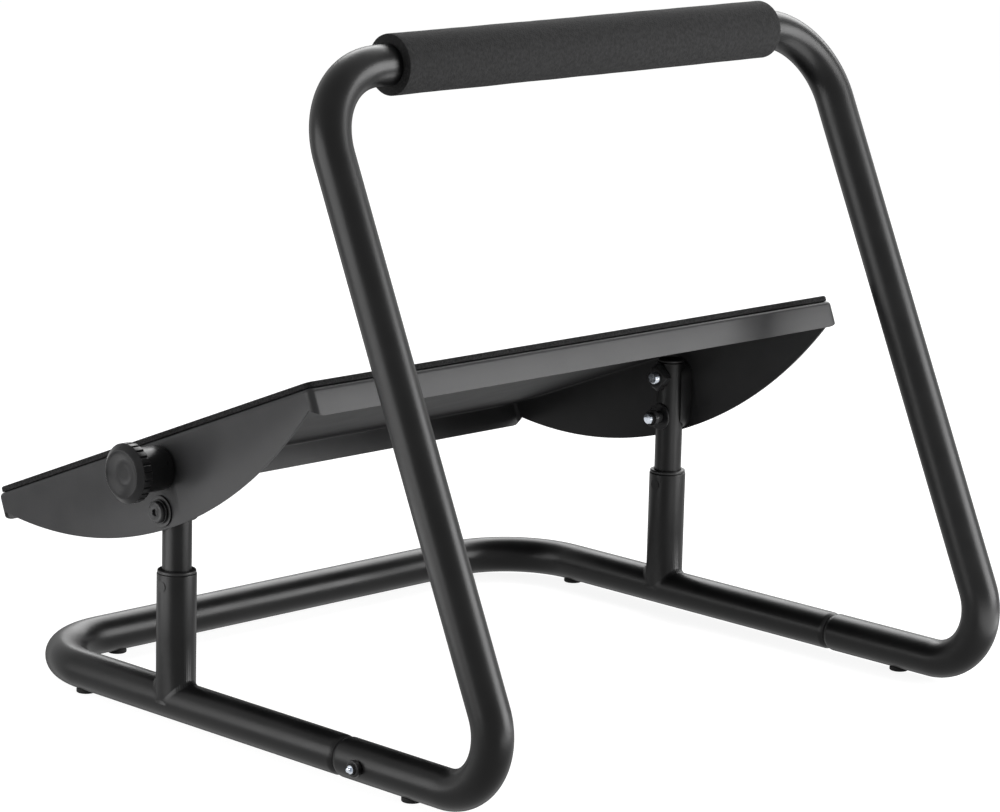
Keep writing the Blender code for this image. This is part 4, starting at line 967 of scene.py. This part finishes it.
# %% Lay the mat
MAT_INSET, MAT_CORNER = 0.0013, 0.0048
MAT_THICKNESS, MAT_EDGE, MAT_FOOT = 0.0036, 0.0014, 0.0004


def round_corner_outline(half_x, half_s, corner, steps=16):
    """A rectangle with rounded corners, as (x, s) points."""
    outline = []
    for i, (sx, ss) in enumerate(((1, 1), (-1, 1), (-1, -1), (1, -1))):
        centre = (sx * (half_x - corner), ss * (half_s - corner))
        outline += arc(centre, corner, i * math.pi / 2, (i + 1) * math.pi / 2, steps)
    return outline


def mat_sheet():
    """The mat as rings that climb its soft edge, closed by its two faces."""
    half_x, half_s = FLANGE_X - MAT_INSET, TRAY_HALF - MAT_INSET
    under, top = SHEET_TOP + GAP, SHEET_TOP + GAP + MAT_THICKNESS
    steps = [(MAT_FOOT, under), (0.0, under + MAT_FOOT)]
    steps += [(MAT_EDGE * (1 - math.cos(t)), top - MAT_EDGE * (1 - math.sin(t))) for t in quarter(8)]
    rings = []
    for inset, height in steps:
        outline = round_corner_outline(half_x - inset, half_s - inset, MAT_CORNER - inset)
        rings.append([Vector((x, s, height)) for x, s in outline])
    return loose("rubber_mat", skin_rings(rings, closed=False))


mat = mat_sheet()
fit(into_place(freeze(mat)), MAT_RUBBER, "tray", "black_rubber", "tray_mat")

# %% [markdown]
# ## Screw threads
#
# Where a bolt comes out of its nut, its thread shows. A thread is a groove that climbs one pitch in
# each turn, so the surface of the bolt is a grid whose radius depends on height and angle together. The
# grid is fine enough for eight steps in a pitch, and the groove fades out at the chamfered tip.

# %% Helper for threaded rods
M8_THREAD = (BOLT_RADIUS, 0.0006, 0.00125)


def threaded_rod(name, radius, depth, pitch, plain, length, tip=0.0008, sides=48):
    """A rod along Z from 0 to its length, plain up to a height and threaded above it."""
    heights = [0.0, plain]
    while heights[-1] < length - tip:
        heights.append(min(heights[-1] + pitch / 8, length - tip))
    heights += [length - tip + tip * k / 4 for k in (1, 2, 3, 4)]
    rings = []
    for z in heights:
        ring = []
        for a in turns(sides):
            share = 0.5 - 0.5 * math.cos(math.tau * z / pitch - a)
            groove = 0.0 if z <= plain else depth * share ** 1.3
            limit = radius - max(0.0, z - (length - tip)) * 0.9
            ring.append(around(min(radius - groove, limit), a, z))
        rings.append(ring)
    return loose(name, skin_rings(rings, closed=False))


def add_shank(head, length, threaded):
    """Joins an M8 shank to a bolt head drawn along Z, with a thread on its far end."""
    shank = threaded_rod("shank", *M8_THREAD, length - threaded, length)
    shank.data.transform(Matrix.Rotation(math.pi, 4, "X"))
    return carve(head, shank, "UNION")


# %% [markdown]
# ## The pivot
#
# A button-head bolt runs through bush, flange, saddle and post into a lock nut on the inside. The head
# is a low dome with a hexagon socket, and it stands in a dark washer. The lock nut ends in a collar
# that holds a nylon ring, which grips the thread so that the tray can turn without loosening it.

# %% Helpers for nuts, washers and tips
WASHER = 0.0014


def fit_washer(name, outer, place, sign, body, cad):
    """Turns a dark flat ring with broken edges and seats it at a place, for its CAD node."""
    edge = WASHER / 4
    ring = turned(name, profile((BOLT_HOLE, 0.0), (outer, 0.0, edge), (outer, WASHER, edge),
                                (BOLT_HOLE, WASHER)), 72, ring=True)
    fit(freeze(stand_at(ring, place, "X", sign)), OXIDE, body, "black_steel", cad)


def nut(name, across_flats, corners, height, hole, turn=0.0):
    """A nut along Z whose corners are turned off at its outer end."""
    body = prism(name, across_flats, corners, 0.0, height, turn)
    flat, slope = across_flats / 2, math.tan(math.radians(30.0))
    reach = flat / math.cos(math.pi / corners) + 0.001
    cone = turned("cutter", [(0.0001, -0.001), (reach, -0.001), (reach, height - (reach - flat) * slope),
                             (flat, height), (0.0001, height)], 96)
    carve(body, cone, "INTERSECT")
    carve(body, rod(hole, (0, 0, -0.002), (0, 0, height + 0.002), 48))
    return soften(body, 0.00022, 2, 25.0)


def bright_tip(bolt, sign, start):
    """Leaves the end of a bolt bare zinc, from that distance to the side of the sign on."""
    bolt.data.materials.append(ZINC)
    for face in bolt.data.polygons:
        if sign * (face.center.x - MIDDLE_X) > start:
            face.material_index = 1


# %% Fit the pivot bolts, washers, bushes and lock nuts
flange_face = FLANGE_X + GAP
inner_face = SIDE - INNER_RADIUS - GAP
BUSH_RIM, HEAD_HEIGHT, SOCKET = 0.0010, 0.0027, 0.0040
LOCK_HEIGHT, LOCK_COLLAR = 0.0055, 0.0080
outer_seat = flange_face + BUSH_RIM + GAP
head_seat = outer_seat + WASHER + GAP
lock_seat = inner_face - WASHER - GAP
shank_length = head_seat - (lock_seat - LOCK_COLLAR - 0.0030)
for side, sign in SIDES.items():
    bush = turned("pivot_bushing_" + side, profile(
        (BOLT_HOLE, -0.0018), (0.0055, -0.0018), (0.0055, 0.0), (0.0098, 0.0, 0.0002),
        (0.0098, BUSH_RIM, 0.0004), (BOLT_HOLE, BUSH_RIM)), 72, ring=True)
    stand_at(bush, on_side(sign, flange_face, PIVOT_Z), "X", sign)
    fit(freeze(bush), NYLON, "tray", "black_plastic", "pivot_bush_" + side)
    fit_washer("outer_washer_" + side, 0.0077, on_side(sign, outer_seat, PIVOT_Z), sign, "lift",
               "pivot_washer_outer_" + side)

    head = turned("button_head_" + side, profile(
        (0.0001, -0.0004), (0.0066, -0.0004), (0.0070, 0.0, 0.0002), (0.0070, 0.0014, 0.0008),
        (0.0064, 0.0024, 0.0008), (0.0052, HEAD_HEIGHT, 0.0016), (0.0001, HEAD_HEIGHT), steps=8), 72)
    carve(head, prism("socket", SOCKET, 6, 0.0008, 0.0060, math.radians(12.0)))
    rim = [(0.0001, 0.0024), (0.0021, 0.0024), (0.0025, 0.0028), (0.0001, 0.0028)]
    carve(head, turned("cutter", rim, 48))
    soften(add_shank(head, shank_length, 0.0150), 0.00018, 2, 35.0)
    stand_at(head, on_side(sign, head_seat, PIVOT_Z), "X", sign)
    fit(freeze(head), OXIDE, "lift", "black_steel", "pivot_bolt_" + side)
    bright_tip(head, -sign, shank_length - head_seat - 0.0007)

    fit_washer("inner_washer_" + side, 0.0090, on_side(sign, inner_face, PIVOT_Z), -sign, "lift",
               "pivot_washer_inner_" + side)
    lock = freeze(nut("lock_nut_" + side, 0.0130, 6, LOCK_HEIGHT, BOLT_HOLE, math.radians(8.0)))
    collar = turned("collar", profile(
        (BOLT_HOLE, 0.0050), (0.0056, 0.0050), (0.0056, LOCK_COLLAR, 0.0012), (0.0047, LOCK_COLLAR, 0.0003),
        (0.0047, 0.0068), (BOLT_HOLE, 0.0068)), 72, ring=True)
    carve(lock, collar, "UNION")
    stand_at(lock, on_side(sign, lock_seat, PIVOT_Z), "X", -sign)
    fit(freeze(lock), OXIDE, "lift", "black_steel", "pivot_nut_" + side)

# %% [markdown]
# ## The clamp
#
# Above the pivot a second bolt runs through the slot and locks the tilt. On the knob's side it is the
# knob's own stud, on the other a guide bolt with a low round head. Both end in a square nut on the
# inside, which stands on one corner, and the bright zinc ends show past it.

# %% Fit the square nuts and the guide bolt
SQUARE_HEIGHT, CLAMP_RING = 0.0062, 0.0115
stud_end = inner_face - SQUARE_HEIGHT - 0.0030
clamp_seat = flange_face + WASHER + GAP
for side, sign in SIDES.items():
    square = nut("square_nut_" + side, 0.0135, 4, SQUARE_HEIGHT, BOLT_HOLE, math.radians(5.0))
    stand_at(square, on_side(sign, inner_face, CLAMP_Z), "X", -sign)
    fit(freeze(square), OXIDE, "lift", "black_steel", "clamp_nut_" + side)

fit_washer("guide_ring_left", CLAMP_RING, on_side(-1, flange_face, CLAMP_Z), -1, "lift", "guide_washer_left")
guide = turned("guide_bolt", profile(
    (0.0001, -0.0004), (0.0086, -0.0004), (0.0090, 0.0, 0.0002), (0.0090, 0.0007, 0.0004),
    (0.0070, 0.0034, 0.0030), (0.0035, 0.0042, 0.0040), (0.0001, 0.0042), steps=8), 72)
add_shank(guide, clamp_seat - stud_end, 0.0160)
stand_at(guide, on_side(-1, clamp_seat, CLAMP_Z), "X", -1)
fit(freeze(guide), ZINC, "lift", "zinc_steel", "guide_bolt_left")

# %% [markdown]
# ## The hand knob
#
# The knob is one moulding: a long round hub, a grip with 24 flat ribs, a cone in front of them and a
# dished face with a low boss. All of it is a stack of rings. Each ring says how far the grooves between
# the ribs reach in there, so the grooves end behind the smooth front rim by themselves.

# %% Mould the knob
KNOB_RIBS, GROOVE = 24, 0.0010
HUB, GRIP = 0.0140, 0.0187
STUD_DEPTH = 0.0160


def groove_at(angle):
    """0 on a rib's flat land and 1 on a groove's floor, with steep smooth walls between."""
    share = abs((angle * KNOB_RIBS / math.tau + 0.25) % 1.0 - 0.5)
    t = min(max((share - 0.33) / 0.07, 0.0), 1.0)
    return t * t * (3 - 2 * t)


def knob_ring(radius, height, depth=0.0, sides=KNOB_RIBS * 20):
    """One ring of the knob, with its grooves that deep."""
    return [around(radius - depth * groove_at(a), a, height) for a in turns(sides)]


hub = [(0.0044, 0.0165), (0.0044, 0.0), (0.0132, 0.0), (0.0138, 0.0003), (HUB, 0.0009),
       (HUB, 0.0197), (0.0142, 0.0203), (0.0150, 0.0205), (0.0172, 0.0205)]
grip = [(0.0180, 0.0206, 0.0003), (0.0185, 0.0210, 0.0008), (GRIP, 0.0214, GROOVE), (GRIP, 0.0266, GROOVE),
        (GRIP, 0.0269, 0.0006)]
cone = [(GRIP, 0.0271), (0.0186, 0.0273), (0.0184, 0.0275), (0.0156, 0.0300), (0.0153, 0.0303),
        (0.0149, 0.0305)]
dish = [(0.0145, 0.0304), (0.0140, 0.0300), (0.0132, 0.0296), (0.0120, 0.0291), (0.0106, 0.0286),
        (0.0090, 0.0282), (0.0076, 0.0280), (0.0066, 0.0280)]
boss = [(0.0057, 0.02815), (0.0047, 0.0283), (0.0032, 0.0284), (0.0001, 0.0284)]
knob = loose("hand_knob", skin_rings([knob_ring(*place) for place in hub + grip + cone + dish + boss],
                                     closed=False))
stand_at(knob, on_side(1, clamp_seat, CLAMP_Z), "X")
fit(freeze(knob, 32.0), KNOB_PLASTIC, "knob", "black_plastic", "clamp_knob")

fit_washer("knob_ring", CLAMP_RING, on_side(1, flange_face, CLAMP_Z), 1, "knob", "knob_washer")
stud_length = clamp_seat + STUD_DEPTH - stud_end
stud = threaded_rod("knob_thread", *M8_THREAD, stud_length - 0.0180, stud_length)
stand_at(stud, on_side(1, clamp_seat + STUD_DEPTH, CLAMP_Z), "X", -1)
fit(freeze(stud), ZINC, "knob", "zinc_steel", "knob_stud")

# %% [markdown]
# ## The joints of the stand
#
# Behind each seam a screw from inside the tube ends in a round black nut, and its bright domed end
# shows in the middle. The sleeve that joins the two tubes lies inside them, so its CAD solid can stay
# as it is, with a steel finish.

# %% Fit the joint nuts and screws
CAP_RADIUS, CAP_HEIGHT = 0.0052, 0.0031
TIP_RADIUS, TIP_LENGTH = 0.0015, 0.0030
screw_end = TUBE_RADIUS + GAP + 0.0070
for side, sign in SIDES.items():
    cap = turned("joint_cap_" + side, profile(
        (JOINT_HOLE, 0.0), (CAP_RADIUS, 0.0, 0.0002), (CAP_RADIUS, 0.0030, 0.0012),
        (JOINT_HOLE, CAP_HEIGHT, 0.0003)), 72, ring=True)
    stand_at(cap, on_side(sign, SIDE + TUBE_RADIUS + GAP, RAIL_Z, JOINT_Y), "X", sign)
    fit(freeze(cap), OXIDE, "base", "black_steel", "joint_nut_" + side)

    screw = threaded_rod("joint_bolt_" + side, 0.0030, 0.0004, 0.0010, screw_end - 0.0095, screw_end - 0.0022,
                         0.0006)
    dome = turned("dome", profile(
        (0.0001, screw_end - TIP_LENGTH), (TIP_RADIUS, screw_end - TIP_LENGTH),
        (TIP_RADIUS, screw_end - 0.0012, 0.0002), (0.0014, screw_end, 0.0013), (0.0001, screw_end),
        steps=8), 64)
    head_z = abs(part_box("joint_screw_" + side)[0 if sign > 0 else 1].x - (MIDDLE_X + sign * SIDE))
    head = turned("head", profile((0.0001, head_z), (0.0050, head_z, 0.0006), (0.0050, head_z + 0.0020),
                                  (0.0001, head_z + 0.0020)), 48)
    carve(screw, rod(0.02, (0, 0, -0.01), (0, 0, head_z + 0.0010), 24))
    carve(screw, head, "UNION")
    carve(screw, dome, "UNION")
    stand_at(screw, on_side(sign, SIDE, RAIL_Z, JOINT_Y), "X", sign)
    fit(freeze(screw), OXIDE, "base", "zinc_steel", "joint_screw_" + side)
    bright_tip(screw, sign, SIDE + screw_end - 0.0024)

    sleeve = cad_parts["joint_spigot_" + side]
    sleeve.data.materials.clear()
    sleeve.data.materials.append(OXIDE)

# %% [markdown]
# ## Rubber feet
#
# Six small bumpers keep the tube off the floor. Each is a round pad, hollowed on top to the tube and
# held by a stem in a hole. The pad is turned and its hollow is cut with a rod as thick as the tube.

# %% Press in the feet
PAD_RADIUS, PAD_HEIGHT = 0.0063, 0.0080
STEM_RADIUS, STEM_TOP = 0.0025, 0.0067
for name in [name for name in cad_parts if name.startswith("foot_")]:
    low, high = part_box(name)
    pad = turned("pad_" + name[5:], profile(
        (0.0001, 0.0), (PAD_RADIUS, 0.0, 0.0009), (PAD_RADIUS, PAD_HEIGHT), (0.0001, PAD_HEIGHT)), 72)
    along = Vector((0.02, 0, 0)) if "front" in name else Vector((0, 0.02, 0))
    middle = Vector((0, 0, RAIL_Z))
    carve(pad, rod(TUBE_RADIUS + 0.0002, middle - along, middle + along, 128))
    stem = turned("stem", profile((0.0001, 0.0010), (STEM_RADIUS, 0.0010), (STEM_RADIUS, STEM_TOP, 0.0006),
                                  (0.0001, STEM_TOP)), 32)
    carve(pad, stem, "UNION")
    soften(pad, 0.0002, 2, 60.0)
    stand_at(pad, ((low.x + high.x) / 2, (low.y + high.y) / 2, 0.0))
    fit(freeze(pad), FOOT_RUBBER, "base", "black_rubber", name)

# %% [markdown]
# ## The foam grip
#
# The sleeve is a thick foam tube pulled over the bar. Foam is never as straight as steel: its outside
# waves by a few tenths of a millimetre, and the rims of its cut ends are a little round. Rings along
# the bar, each with a little smooth noise in its radius, give that without a simulation, because
# nothing presses on the foam here.

# %% Pull on the foam grip
foam_low, foam_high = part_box("foam_grip")
WAVE, SLOW_WAVE, FAST_WAVE = 0.0002, 0.00022, 0.00008
FOAM_RADIUS = (foam_high.z - foam_low.z) / 2 - WAVE
FOAM_BORE = TUBE_RADIUS + 0.0001
foam_half = (foam_high.x - foam_low.x) / 2
foam_middle = Vector(((foam_low.x + foam_high.x) / 2, BAR_Y, BAR_Z))


def foam_ring(radius, along, sides=144):
    """One ring of the sleeve, about the X axis, with a slow wave in its radius outside the bore."""
    ring = []
    for a in turns(sides):
        probe = Vector((along * 28.0, math.cos(a) * 0.9, math.sin(a) * 0.9))
        swell = SLOW_WAVE * noise.noise(probe) + FAST_WAVE * noise.noise(probe * 4.0)
        r = radius + swell if radius > TUBE_RADIUS + 0.001 else radius
        ring.append(Vector((along, r * math.cos(a), r * math.sin(a))))
    return ring


def foam_end(share, back, sign):
    """One ring of an end face, from the bore at share 0 to the outside at 1, set back by a length."""
    return foam_ring(FOAM_BORE + (FOAM_RADIUS - FOAM_BORE) * share, sign * (foam_half - back))


end_shape = [(0.0, 0.0), (0.35, 0.0), (0.70, 0.0), (0.93, 0.0001), (0.98, 0.0003), (1.0, 0.0008)]
rings = [foam_end(share, back, -1) for share, back in end_shape]
rings += [foam_ring(FOAM_RADIUS, foam_half * (k / 40 - 1)) for k in range(1, 80)]
rings += [foam_end(share, back, 1) for share, back in reversed(end_shape)]
grip = loose("foam_sleeve", skin_rings(rings, closed=True))
stand_at(grip, foam_middle)
fit(freeze(grip, 40.0), FOAM, "base", "black_foam", "foam_grip")
# The end faces take the darker copy of the foam: painted shade, besides the darker opened cells of the cut.
grip.data.materials.append(SHADED_FOAM_ENDS)
for face in grip.data.polygons:
    if abs(face.normal.x) > 0.8:
        face.material_index = 1
